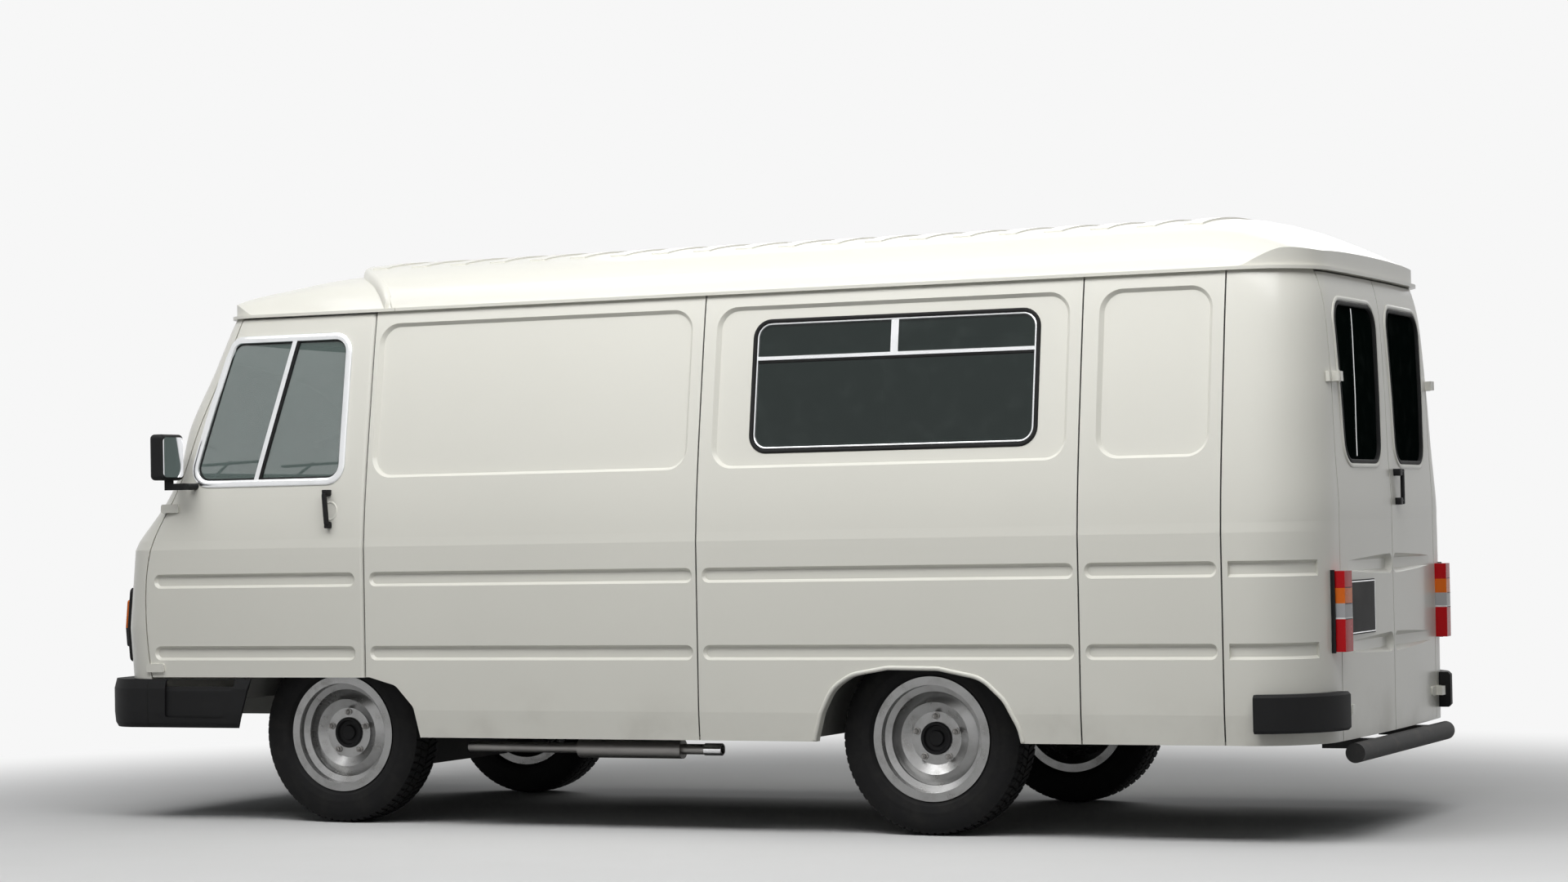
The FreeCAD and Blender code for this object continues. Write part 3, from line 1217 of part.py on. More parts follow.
def wheel(place, axle_x, side):
    """Rim with its lug holes, and its tyre, at one corner of the vehicle."""
    rim = revolved_body("wheel_" + place, rim_profile())
    doc.recompute()
    circle = rim.newObject("Sketcher::SketchObject", "lug_hole_" + place)
    plane = next(f for f in rim.Origin.OriginFeatures if f.Role == "XZ_Plane")
    circle.AttachmentSupport = [(plane, "")]
    circle.MapMode = "FlatFace"
    circle.addGeometry(Part.Circle(Vector(0, v("lug_circle_radius"), 0), Z, v("lug_hole_radius")), False)
    circle.addConstraint(Sketcher.Constraint("Radius", 0, v("lug_hole_radius")))
    circle.setExpression("Constraints[0]", "Sizes.lug_hole_radius")
    circle.addConstraint(Sketcher.Constraint("PointOnObject", 0, 3, -2))
    circle.addConstraint(Sketcher.Constraint("DistanceY", -1, 1, 0, 3, v("lug_circle_radius")))
    circle.setExpression("Constraints[2]", "Sizes.lug_circle_radius")
    hole = rim.newObject("PartDesign::Pocket", "lug_holes_" + place)
    hole.Profile = circle
    hole.Type = 0
    hole.Length = v("rim_width")
    hole.Midplane = True
    doc.recompute()
    pattern = rim.newObject("PartDesign::PolarPattern", "lug_pattern_" + place)
    pattern.Originals = [hole]
    pattern.Axis = (circle, ["N_Axis"])
    pattern.Angle = 360
    pattern.setExpression("Occurrences", "Sizes.lug_count")
    rim.Tip = pattern
    tyre = revolved_body("tyre_" + place, tyre_profile())
    turn = Rotation(Z, 0 if side > 0 else 180)
    for body in (rim, tyre):
        body.Placement = Placement(Vector(axle_x, side * v("wheel_centre"), v("tyre_radius")), turn)
        nodes[body.Name] = body


for end, axle_x in (("front", FRONT_AXLE), ("rear", REAR_AXLE)):
    for hand, side in (("left", 1), ("right", -1)):
        wheel(end + "_" + hand, axle_x, side)

doc.recompute()

# Check every object, then write each piece
for item in doc.Objects:
    if "Invalid" in item.State or "Error" in item.State:
        raise RuntimeError(f"{item.Name} failed: {item.State}")
os.makedirs("parts", exist_ok=True)
for label, item in nodes.items():
    item.Label = label
    if item.Shape.isNull() or not item.Shape.isValid() or not item.Shape.Solids:
        raise RuntimeError(f"{label} has no valid shape")
    item.Shape.exportStep(os.path.join("parts", label + ".step"))
    print(label, len(item.Shape.Solids), round(item.Shape.Volume / 1e6, 2))
print(len(nodes), "pieces")
for height in (v("rear_upper_hinge_height"), v("rear_lower_hinge_height")):
    print("rear pin", [round(value, 2) for value in rear_pin(height)])
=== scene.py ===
"""Looks of the panel van: paint, glass, rubber, lamps, trim, tread and seats round the CAD frame."""

import json
import math

import bmesh
import bpy
from mathutils import Matrix, Vector
from mathutils.bvhtree import BVHTree


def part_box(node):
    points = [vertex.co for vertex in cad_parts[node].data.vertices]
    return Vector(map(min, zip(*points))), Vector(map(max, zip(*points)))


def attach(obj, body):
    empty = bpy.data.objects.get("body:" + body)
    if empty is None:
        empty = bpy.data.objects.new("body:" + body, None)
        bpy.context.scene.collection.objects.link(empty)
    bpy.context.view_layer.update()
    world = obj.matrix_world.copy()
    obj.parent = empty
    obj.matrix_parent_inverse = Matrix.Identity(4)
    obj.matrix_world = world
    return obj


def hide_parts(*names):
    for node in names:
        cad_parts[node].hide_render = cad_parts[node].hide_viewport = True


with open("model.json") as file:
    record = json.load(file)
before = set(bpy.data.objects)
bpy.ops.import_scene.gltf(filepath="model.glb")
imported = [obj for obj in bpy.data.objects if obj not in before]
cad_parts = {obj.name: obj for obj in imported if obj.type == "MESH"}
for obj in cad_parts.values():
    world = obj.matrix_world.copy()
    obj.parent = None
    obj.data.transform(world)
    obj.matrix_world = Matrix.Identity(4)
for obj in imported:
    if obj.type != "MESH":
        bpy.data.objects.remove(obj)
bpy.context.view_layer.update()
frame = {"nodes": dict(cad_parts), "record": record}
nodes = frame["nodes"]
SIDES = (("left", 1), ("right", -1))
MM = 0.001
FRONT_AXLE, REAR_AXLE, WHEELBASE = 1.474, -1.026, 2500
WHEEL_SIDE, WHEEL_HEIGHT = 0.735, 0.350
STUDIO_WHITE = (0.93, 0.93, 0.93, 1)


# Shader maths
def maths(operation, turned=False):
    """A method that makes one Math node of a signal and another value, in that order or turned round."""
    def method(self, other):
        inputs = {0: other, 1: self} if turned else {0: self, 1: other}
        return self.finish.node("ShaderNodeMath", {"operation": operation}, inputs)
    return method


class Signal:
    """A shader socket that grows Math nodes when it meets Python's operators."""

    def __init__(self, finish, socket):
        self.finish = finish
        self.socket = socket

    __add__ = __radd__ = maths("ADD")
    __sub__, __rsub__ = maths("SUBTRACT"), maths("SUBTRACT", turned=True)
    __mul__, __lt__, wrapped = maths("MULTIPLY"), maths("LESS_THAN"), maths("MODULO")

    def absolute(self):
        """The value without its sign."""
        return maths("ABSOLUTE")(self, 0)

    def eased(self, low, high):
        """0 below low, 1 above high and smooth between."""
        inputs = {"Value": self, "From Min": low, "From Max": high}
        return self.finish.node("ShaderNodeMapRange", {"interpolation_type": "SMOOTHSTEP"}, inputs)


class Finish:
    """One material, or the world, built node by node."""

    def __init__(self, name, world=None):
        self.material = bpy.data.materials.new(name) if world is None else world
        self.material.use_nodes = True
        self.tree = self.material.node_tree
        self.tree.nodes.clear()
        self.place = self.node("ShaderNodeTexCoord", out="Object")

    def node(self, kind, settings=None, inputs=None, out=0):
        """New node with its settings and its inputs, given back as one of its outputs."""
        made = self.tree.nodes.new(kind)
        for key, value in (settings or {}).items():
            setattr(made, key, value)
        for key, value in (inputs or {}).items():
            if isinstance(value, Signal):
                self.tree.links.new(value.socket, made.inputs[key])
            elif made.inputs[key].type == "RGBA":
                made.inputs[key].default_value = (*value[:3], 1)
            else:
                made.inputs[key].default_value = value
        return Signal(self, made.outputs[out])

    def axis(self, letter):
        """One coordinate of the place, in metres."""
        return self.node("ShaderNodeSeparateXYZ", None, {0: self.place}, out=letter)

    def noise(self, scale, detail=3, rough=0.55, stretch=None):
        """Cloudy values from 0 to 1, drawn out along an axis if asked."""
        place = self.place
        if stretch:
            place = self.node("ShaderNodeMapping", None, {"Vector": self.place, "Scale": stretch})
        inputs = {"Vector": place, "Scale": scale, "Detail": detail, "Roughness": rough}
        return self.node("ShaderNodeTexNoise", None, inputs)

    def mixed(self, first, second, share):
        """Blend of two colours by a share."""
        inputs = {0: share, 6: first, 7: second}
        return self.node("ShaderNodeMix", {"data_type": "RGBA"}, inputs, out=2)

    def bump(self, height, strength, distance):
        """Bent normals from a height."""
        inputs = {"Height": height, "Strength": strength, "Distance": distance}
        return self.node("ShaderNodeBump", None, inputs)

    def finished(self, **sockets):
        """Close the material with one shader; underscores in names stand for spaces."""
        inputs = {key.replace("_", " "): value for key, value in sockets.items()}
        shader = self.node("ShaderNodeBsdfPrincipled", None, inputs)
        self.output(shader)
        return self.material

    def output(self, shader, kind="ShaderNodeOutputMaterial"):
        """Last node, fed by one shader."""
        made = self.tree.nodes.new(kind)
        self.tree.links.new(shader.socket, made.inputs["Surface"])


def gloss_paint(name, colour, dust):
    """Coach paint: a slight orange peel under the coat, paler and duller where dust lies."""
    f = Finish(name)
    near_ground = 1 - f.axis("Z").eased(0.32, 0.62)
    grime = f.noise(3.2, 5).eased(0.42, 0.75) * near_ground
    cloud = f.noise(1.3, 2)
    base = f.mixed(colour, [c * 0.93 for c in colour], cloud)
    base = f.mixed(base, dust, grime * 0.35)
    peel = f.noise(420, 2)
    rough = 0.36 + f.noise(6, 4) * 0.07 + grime * 0.2
    return f.finished(
        Base_Color=base, Roughness=rough, Normal=f.bump(peel, 0.04, 0.0004),
        Coat_Weight=0.35, Coat_Roughness=0.12,
    )


def grained_plastic(name, colour, grain, rough):
    """Moulded plastic with a fine leather grain and a greyer bloom where it has weathered."""
    f = Finish(name)
    settings = {"feature": "DISTANCE_TO_EDGE"}
    cells = f.node("ShaderNodeTexVoronoi", settings, {"Vector": f.place, "Scale": grain})
    bloom = f.noise(5, 4).eased(0.35, 0.8)
    base = f.mixed(colour, [c * 1.9 + 0.004 for c in colour], bloom * 0.6)
    return f.finished(
        Base_Color=base, Roughness=rough + bloom * 0.1, Specular_IOR_Level=0.18,
        Normal=f.bump(cells.eased(0, 0.25), 0.25, 0.0004),
    )


def bright_metal(name, colour, rough, brush):
    """Drawn metal trim: fine brushed lines and faint dull patches."""
    f = Finish(name)
    lines = f.noise(brush, 3, 0.6, (1, 1, 0.06))
    dull = f.noise(9, 4).eased(0.4, 0.8)
    base = f.mixed(colour, [c * 0.92 for c in colour], dull)
    return f.finished(
        Base_Color=base, Metallic=1.0, Roughness=rough + dull * 0.05,
        Normal=f.bump(lines, 0.02, 0.0002),
    )


def cast_paint(name, colour, edge_colour, rough):
    """Painted or bare heavy metal with blotches, grit and rubbed patches."""
    f = Finish(name)
    patch = f.noise(7, 6).eased(0.52, 0.68)
    grit = f.noise(260, 3)
    base = f.mixed(colour, edge_colour, patch * 0.5)
    return f.finished(
        Base_Color=base, Roughness=rough + grit * 0.12, Metallic=0.25,
        Normal=f.bump(grit, 0.3, 0.0006),
    )


def tinted_glass(name, tint, clear, shine=0.8):
    """Pane that mixes a tinted see-through with a sharp reflection, smeared a little by dust."""
    f = Finish(name)
    smear = f.noise(14, 4).eased(0.45, 0.9)
    base = f.mixed(tint, [c * 1.15 + 0.01 for c in tint], smear)
    return f.finished(
        Base_Color=base, Roughness=0.03 + smear * 0.05, Alpha=clear + smear * 0.03,
        Specular_IOR_Level=shine, Coat_Weight=0.5 * shine, Coat_Roughness=0.02,
    )


def lens_bands(name, bands, ribs):
    """Moulded lens whose colour changes in level bands, with fine prisms across it."""
    f = Finish(name)
    y, z = f.axis("Y"), f.axis("Z")
    colour = bands[0][1]
    for height, next_colour in bands[1:]:
        colour = f.mixed(colour, next_colour, z < height)
    prism = (z * ribs).wrapped(1.0).eased(0.0, 1.0)
    side = (y * ribs * 0.8).absolute().wrapped(1.0)
    return f.finished(
        Base_Color=colour, Roughness=0.22 + f.noise(30, 3) * 0.08, Specular_IOR_Level=0.15,
        Normal=f.bump(prism * 0.5 + side * 0.5, 0.35, 0.002),
    )


def woven_cloth(name, colour, thread):
    """Seat cloth: crossed threads, worn paler in broad patches."""
    f = Finish(name)
    x, y, z = (f.axis(letter) for letter in "XYZ")
    weft = ((x + z) * thread).wrapped(1.0).eased(0, 1)
    warp = ((y + z * 0.5) * thread).wrapped(1.0).eased(0, 1)
    wear = f.noise(8, 4).eased(0.45, 0.8)
    base = f.mixed(colour, [c * 1.7 + 0.01 for c in colour], wear * 0.5 + weft * warp * 0.5)
    return f.finished(
        Base_Color=base, Roughness=0.85 + wear * 0.05,
        Normal=f.bump(weft * warp + f.noise(500, 2) * 0.3, 0.5, 0.0008),
    )


def tyre_rubber(name):
    """Tread rubber, dusty grey-black with a fine grit."""
    f = Finish(name)
    dust = f.noise(12, 5).eased(0.4, 0.8)
    grit = f.noise(380, 3)
    base = f.mixed((0.0065, 0.0065, 0.007), (0.020, 0.0195, 0.0185), dust)
    return f.finished(
        Base_Color=base, Roughness=0.72 + dust * 0.15, Specular_IOR_Level=0.2,
        Normal=f.bump(grit, 0.25, 0.0005),
    )


def wheel_paint(name):
    """Silver-grey wheel enamel with duller patches of brake dust."""
    f = Finish(name)
    patch = f.noise(18, 6).eased(0.4, 0.8)
    speck = f.noise(240, 2)
    base = f.mixed((0.30, 0.30, 0.298), (0.22, 0.218, 0.212), patch)
    return f.finished(
        Base_Color=base, Metallic=0.9, Roughness=0.24 + patch * 0.06, Normal=f.bump(speck, 0.04, 0.0002),
    )


RED, ORANGE = (0.52, 0.006, 0.010), (0.78, 0.16, 0.015)
CLEAR, WHITE = (0.42, 0.42, 0.43), (0.85, 0.85, 0.85)
lamp_low, lamp_high = (corner.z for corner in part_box("tail_lamps"))
lamp_tall = lamp_high - lamp_low


def lamp_level(share):
    """Height of a share of the tail lamps."""
    return lamp_low + share * lamp_tall


PAINT = gloss_paint("cream_paint", (0.73, 0.72, 0.655), (0.42, 0.40, 0.35))
BLACK = grained_plastic("bumper_plastic", (0.0055, 0.0056, 0.006), 900, 0.55)
SMOOTH_BLACK = grained_plastic("smooth_black_plastic", (0.006, 0.006, 0.0065), 1600, 0.5)
RUBBER = grained_plastic("window_rubber", (0.006, 0.006, 0.006), 1200, 0.6)
ALUMINIUM = bright_metal("bright_aluminium", (0.80, 0.81, 0.82), 0.22, 300)
CHROME = bright_metal("chrome", (0.88, 0.88, 0.89), 0.06, 500)
STEEL = bright_metal("dull_steel", (0.30, 0.29, 0.28), 0.42, 200)
UNDER = cast_paint("underbody_paint", (0.010, 0.010, 0.010), (0.045, 0.038, 0.032), 0.6)
IRON = cast_paint("cast_iron", (0.035, 0.034, 0.033), (0.10, 0.085, 0.07), 0.55)
FLOOR_PAINT = cast_paint("floor_paint", (0.20, 0.20, 0.185), (0.12, 0.11, 0.10), 0.6)
GLASS = tinted_glass("cab_glass", (0.10, 0.155, 0.14), 0.42)
# The side and rear panes are near black and mostly opaque: painted shade standing in for the shaded inside of
# the van seen through them.
SIDE_GLASS_PAINTED_SHADE = tinted_glass("side_glass_painted_shade", (0.012, 0.020, 0.018), 0.86, 0.3)
REAR_GLASS_PAINTED_SHADE = tinted_glass("rear_glass_painted_shade", (0.003, 0.006, 0.005), 0.93, 0.0)
LAMP_GLASS = tinted_glass("lamp_glass", (0.75, 0.76, 0.77), 0.35)
ORANGE_LENS = lens_bands("indicator_lens", [(0, ORANGE), (0.767, (0.02, 0.02, 0.022))], 160)
LENS = lens_bands("tail_lens", [
    (lamp_high, RED), (lamp_level(0.79), ORANGE), (lamp_level(0.60), CLEAR),
    (lamp_level(0.425), WHITE), (lamp_level(0.405), RED),
], 55)
CLOTH = woven_cloth("seat_cloth", (0.018, 0.018, 0.021), 420)
TYRE = tyre_rubber("tyre_rubber")
WHEEL = wheel_paint("wheel_enamel")


# Camera, stage and lights
def stand_camera():
    """Camera at the photograph's place, with its turn given as yaw, pitch and roll."""
    place, yaw, pitch, roll = (-5.84423, 12.43493, 1.15073), -1.137, 0.023, -0.019
    ahead = Vector((math.cos(yaw) * math.cos(pitch), math.sin(yaw) * math.cos(pitch), math.sin(pitch)))
    right = Vector((math.sin(yaw), -math.cos(yaw), 0))
    up = right.cross(ahead)
    turned_right = math.cos(roll) * right + math.sin(roll) * up
    turned_up = -math.sin(roll) * right + math.cos(roll) * up
    camera = bpy.data.objects.new("camera", bpy.data.cameras.new("camera"))
    bpy.context.scene.collection.objects.link(camera)
    camera.data.lens = 79.546
    camera.data.sensor_width = 36
    camera.data.clip_end = 300
    turn = Matrix((turned_right, turned_up, -ahead)).transposed().to_4x4()
    camera.matrix_world = Matrix.Translation(place) @ turn
    bpy.context.scene.camera = camera


def soft_light(name, place, aim, size, power):
    """White panel lamp that faces a place."""
    light = bpy.data.lights.new(name, "AREA")
    light.shape = "RECTANGLE"
    light.size, light.size_y = size
    light.energy = power
    holder = bpy.data.objects.new(name, light)
    bpy.context.scene.collection.objects.link(holder)
    holder.location = place
    holder.rotation_euler = (Vector(aim) - Vector(place)).to_track_quat("-Z", "Y").to_euler()


def white_to_lens(f, seen, shaded):
    """One shader where it is seen or seen through, and another for the light that it throws."""
    rays = [f.node("ShaderNodeLightPath", out=name) for name in (
        "Is Camera Ray", "Is Glossy Ray", "Is Transmission Ray")]
    share = rays[0] + rays[1] + rays[2]
    return f.node("ShaderNodeMixShader", None, {0: share.eased(0, 1), 1: shaded, 2: seen})


def build_stage():
    """Pale floor that keeps the van's shadow and runs out to the white of the world."""
    bpy.ops.mesh.primitive_circle_add(vertices=96, radius=45, fill_type="NGON")
    floor = bpy.context.object
    floor.name = "studio_floor"
    f = Finish("studio_floor")
    x, y = f.axis("X"), f.axis("Y")
    # Squares of the distances in metres where the floor begins to fade and where it is gone
    away = ((x * x) * 0.9 + y * y).eased(4.0, 32.0)
    grain = f.mixed((0.64, 0.64, 0.64), (0.61, 0.61, 0.605), f.noise(2.2, 4))
    paper, dull = (f.node("ShaderNodeBsdfDiffuse", None, {"Color": colour})
                   for colour in (grain, (0.30, 0.30, 0.30)))
    glow, dim = (f.node("ShaderNodeEmission", None, {"Color": STUDIO_WHITE, "Strength": strength})
                 for strength in (1.0, 0.12))
    near, far = white_to_lens(f, paper, dull), white_to_lens(f, glow, dim)
    f.output(f.node("ShaderNodeMixShader", None, {0: away, 1: near, 2: far}))
    floor.data.materials.append(f.material)

    world = bpy.data.worlds.new("studio")
    bpy.context.scene.world = world
    f = Finish("studio", world)
    seen, shaded = (f.node("ShaderNodeBackground", None, {"Color": colour, "Strength": strength})
                    for colour, strength in ((STUDIO_WHITE, 1.0), ((0.93, 0.97, 1.0), 0.13)))
    f.output(white_to_lens(f, seen, shaded), "ShaderNodeOutputWorld")

    soft_light("sky_panel", (0.0, 3.2, 8.0), (0, 0.3, 1.0), (10.0, 4.2), 90)
    soft_light("wall_panel", (-0.9, 3.4, 4.7), (-0.9, 0.9, 1.4), (9.6, 2.0), 290)
    soft_light("side_panel", (-3.5, 10.0, 4.2), (0, 0, 1.2), (7.0, 4.0), 15)
    soft_light("far_panel", (0.5, -7.0, 5.0), (0, 0, 1.2), (8.0, 4.0), 150)
    soft_light("tail_panel", (-3.6, 0.3, 7.5), (-2.6, 0, 2.0), (3.0, 3.0), 60)
    bpy.context.scene.view_settings.view_transform = "Standard"


# Mesh making
def linked(name, mesh):
    """New object in the scene."""
    piece = bpy.data.objects.new(name, mesh)
    bpy.context.scene.collection.objects.link(piece)
    return piece


def closed_mesh(name, points, faces, sharp=35):
    """Mesh with its doubles merged and every face turned outwards."""
    mesh = bpy.data.meshes.new(name)
    mesh.from_pydata([tuple(p) for p in points], [], faces)
    return cleaned(mesh, sharp)


def cleaned(mesh, sharp=35):
    """The same mesh, its doubles merged, its faces turned outwards and its sharp edges kept."""
    bm = bmesh.new()
    bm.from_mesh(mesh)
    bmesh.ops.remove_doubles(bm, verts=bm.verts, dist=2e-5)
    bmesh.ops.recalc_face_normals(bm, faces=bm.faces)
    bm.to_mesh(mesh)
    bm.free()
    mesh.shade_smooth()
    mesh.set_sharp_from_angle(angle=math.radians(sharp))
    return mesh


def loft(name, rows, sharp=35):
    """Closed body through rows of points, each row a closed section."""
    count = len(rows[0])
    points = [point for row in rows for point in row]
    faces = [(k + i, k + (i + 1) % count, k + count + (i + 1) % count, k + count + i)
             for k in range(0, len(points) - count, count) for i in range(count)]
    faces += [tuple(range(count)), tuple(range(len(points) - count, len(points)))]
    return closed_mesh(name, points, faces, sharp)


# Slot of each finish that is used on pieces made here
SLOTS = {
    PAINT.name: "body_paint", SMOOTH_BLACK.name: "dark_plastic", RUBBER.name: "dark_plastic",
    ALUMINIUM.name: "exhaust_metal", CHROME.name: "exhaust_metal", STEEL.name: "exhaust_metal",
    CLOTH.name: "seat_fabric", TYRE.name: "tyre_rubber",
}


def placed(name, mesh, material, body, instead_of=()):
    """Finished piece of one mesh or a list of them: its material and the body that it rides on."""
    mesh = merged(mesh) if isinstance(mesh, list) else mesh
    piece, slot = linked(name, mesh), SLOTS[material.name]
    mesh.materials.clear()
    mesh.materials.append(material)
    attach(piece, body)
    if instead_of:
        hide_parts(*instead_of)
    return piece


def merged(meshes):
    """One mesh from several, so that like pieces share a node."""
    bm = bmesh.new()
    for mesh in meshes:
        bm.from_mesh(mesh)
    whole = bpy.data.meshes.new("merged")
    bm.to_mesh(whole)
    bm.free()
    whole.shade_smooth()
    whole.set_sharp_from_angle(angle=math.radians(35))
    return whole


def probe(*names):
    """Ray target made from CAD nodes."""
    points, faces = [], []
    for name in names:
        start = len(points)
        mesh = nodes[name].data
        points += [v.co.copy() for v in mesh.vertices]
        faces += [[start + i for i in polygon.vertices] for polygon in mesh.polygons]
    return BVHTree.FromPolygons(points, faces)


def touch(tree, start, ahead):
    """Point and normal where a ray first meets the target, the normal turned to face it."""
    point, normal, index, distance = tree.ray_cast(Vector(start), Vector(ahead))
    if point is None:
        return None, None
    if normal.dot(Vector(ahead)) > 0:
        normal = -normal
    return point, normal


def rounded_outline(corners, radius, step=0.012):
    """Closed flat outline through corners, each rounded, in even steps."""
    outline, arcs = [], 8
    for index, corner in enumerate(corners):
        here = Vector(corner)
        before = Vector(corners[index - 1]) - here
        after = Vector(corners[(index + 1) % len(corners)]) - here
        half = before.angle(after) / 2
        reach = radius / math.tan(half)
        before, after = before.normalized(), after.normalized()
        first, last = here + before * reach, here + after * reach
        centre = here + (before + after).normalized() * radius / math.sin(half)
        for k in range(arcs + 1):
            spoke = (first - centre).slerp(last - centre, k / arcs)
            outline.append(centre + spoke * radius)
    return spaced(outline, step)


def spaced(outline, step):
    """The same closed outline with long runs divided."""
    result = []
    for index, here in enumerate(outline):
        ahead = outline[(index + 1) % len(outline)]
        count = max(1, round((ahead - here).length / step))
        result += [here.lerp(ahead, k / count) for k in range(count)]
    return result


def rectangle(low, high):
    """Four corners between two opposite ones."""
    return [(low[0], low[1]), (high[0], low[1]), (high[0], high[1]), (low[0], high[1])]


def ring_points(middle, across, up, count):
    """Flat ring, or oval, of evenly turned points."""
    turns = (2 * math.pi * k / count for k in range(count))
    return [Vector((middle[0] + across * math.cos(a), middle[1] + up * math.sin(a))) for a in turns]


def group_tree(name, entries, result, kinds, links):
    """Geometry Nodes group: its entry sockets, its nodes by short names, and the links between them."""
    tree = bpy.data.node_groups.new(name, "GeometryNodeTree")
    for label, kind in entries:
        tree.interface.new_socket(label, in_out="INPUT", socket_type="NodeSocket" + kind)
    tree.interface.new_socket(result, in_out="OUTPUT", socket_type="NodeSocketGeometry")
    made = {"in": tree.nodes.new("NodeGroupInput"), "out": tree.nodes.new("NodeGroupOutput")}
    for key, (kind, *settings) in kinds.items():
        made[key] = tree.nodes.new(kind)
        for setting, value in settings:
            setattr(made[key], setting, value)
    for start, leaving, end, entering in links:
        tree.links.new(made[start].outputs[leaving], made[end].inputs[entering])
    return tree, made


def strip_tree():
    """Geometry Nodes: run a flat profile along a path whose points carry an outward direction."""
    entries = (("Path", "Geometry"), ("Profile", "Object"), ("Finish", "Material"), ("Capped", "Bool"))
    tree, made = group_tree("strip_on_surface", entries, "Strip", {
        "path": ("GeometryNodeMeshToCurve",),
        "outward": ("GeometryNodeInputNamedAttribute", ("data_type", "FLOAT_VECTOR")),
        "upright": ("GeometryNodeSetCurveNormal", ("mode", "FREE")),
        "object": ("GeometryNodeObjectInfo",),
        "profile": ("GeometryNodeMeshToCurve",),
        "sweep": ("GeometryNodeCurveToMesh",),
        "real": ("GeometryNodeRealizeInstances",),
        "paint": ("GeometryNodeSetMaterial",),
    }, (
        ("in", "Path", "path", "Mesh"), ("path", "Curve", "upright", "Curve"),
        ("outward", "Attribute", "upright", "Normal"), ("in", "Profile", "object", "Object"),
        ("object", "Geometry", "profile", "Mesh"), ("upright", "Curve", "sweep", "Curve"),
        ("profile", "Curve", "sweep", "Profile Curve"), ("in", "Capped", "sweep", "Fill Caps"),
        ("sweep", "Mesh", "real", "Geometry"), ("real", "Geometry", "paint", "Geometry"),
        ("in", "Finish", "paint", "Material"), ("paint", "Geometry", "out", "Strip"),
    ))
    made["outward"].inputs["Name"].default_value = "outward"
    return tree


def settled(piece):
    """Plain mesh of an object as its modifiers leave it."""
    graph = bpy.context.evaluated_depsgraph_get()
    return bpy.data.meshes.new_from_object(piece.evaluated_get(graph))


def applied(source, tree, values):
    """Run a Geometry Nodes tree once and give its result as a plain mesh."""
    modifier = source.modifiers.new("grow", "NODES")
    modifier.node_group = tree
    for item in tree.interface.items_tree:
        if item.in_out == "INPUT" and item.name in values:
            modifier[item.identifier] = values[item.name]
    bpy.context.view_layer.update()
    mesh = settled(source)
    source.modifiers.remove(modifier)
    return mesh


def line_object(name, points, closed, outward=None):
    """Loose-edged mesh of a path, its points carrying the outward direction."""
    edges = [(i, i + 1) for i in range(len(points) - 1)]
    if closed:
        edges.append((len(points) - 1, 0))
    mesh = bpy.data.meshes.new(name)
    mesh.from_pydata([tuple(p) for p in points], edges, [])
    if outward:
        attribute = mesh.attributes.new("outward", "FLOAT_VECTOR", "POINT")
        for item, direction in zip(attribute.data, outward):
            item.vector = direction
    return linked(name, mesh)


STRIP = strip_tree()


def strip(points, outward, profile, material, closed=True):
    """Profile of (out, across) places in metres, run along a path."""
    path = line_object("path", points, closed, outward)
    section = line_object("section", [(a, b, 0) for a, b in profile], True)
    mesh = applied(path, STRIP, {"Profile": section, "Finish": material, "Capped": not closed})
    for helper in (path, section):
        bpy.data.objects.remove(helper)
    return cleaned(mesh)


def half_round(width, tall, sink=0.002):
    """Strip section: flat where it sits, domed outside."""
    steps = 6
    dome = [(tall * math.sin(math.pi * k / steps), -width / 2 * math.cos(math.pi * k / steps))
            for k in range(steps + 1)]
    return [(-sink, -width / 2)] + dome + [(-sink, width / 2)]


def flat_bar(width, tall, edge=0.001, sink=0.002):
    """Strip section: a flat bar with broken edges."""
    half = width / 2
    return [(-sink, -half), (tall - edge, -half), (tall, -half + edge), (tall, half - edge),
            (tall - edge, half), (-sink, half)]


def back(distance):
    """X of a place counted back from the front axle, in millimetres."""
    return FRONT_AXLE - distance * MM


# Materials of the CAD nodes
FINISHES = {
    "body_paint": PAINT, "glass": GLASS, "dark_plastic": BLACK, "lamp_red": LENS,
    "lamp_orange": ORANGE_LENS, "lamp_clear": LAMP_GLASS, "under_metal": UNDER,
    "platform_paint": FLOOR_PAINT, "engine_metal": IRON, "exhaust_metal": STEEL,
    "wheel_paint": WHEEL, "tyre_rubber": TYRE, "seat_fabric": CLOTH,
}
OWN_FINISH = {"rear_window_left": REAR_GLASS_PAINTED_SHADE, "rear_window_right": REAR_GLASS_PAINTED_SHADE, "side_windows": SIDE_GLASS_PAINTED_SHADE}


def dress_nodes():
    """Give every CAD node the finish of its slot, or one of its own."""
    for row in frame["record"]["subparts"]:
        name = row["node"]
        finish = OWN_FINISH.get(name, FINISHES[row["material_slot"]])
        data = nodes[name].data
        if data.materials:
            for index in range(len(data.materials)):
                data.materials[index] = finish
        else:
            data.materials.append(finish)


stand_camera()
build_stage()
dress_nodes()


# Windows: seals, frames and bars
PANELS = probe(*[name for name in nodes if name.endswith((
    "_panels", "nose_panel", "_door_left", "_door_right"))])
PANES = probe(*[name for name in nodes if "window_" in name and "panels" not in name],
              "side_windows", "windscreen")
# Rays start this far out, clear of the van
REACH = 3.4
# Millimetres behind the front axle, and levels in metres
WINDOW_BACK, WINDOW_MIDDLE, WINDOW_FRONT = 2957, 2397, 1838
WINDOW_SILL, WINDOW_RAIL, WINDOW_HEAD = 1.407, 1.750, 1.889
PANEL_JOINTS, DOOR_JOINT = (1634, 3130, 3655), (200,)


def on_side(tree, side):
    """Casts a flat (x, z) place onto one side of the van."""
    return lambda p: touch(tree, (p[0], side * REACH, p[1]), (0, -side, 0))


def on_tail(tree):
    """Casts a flat (y, z) place onto the tail."""
    return lambda p: touch(tree, (-REACH, p[0], p[1]), (1, 0, 0))


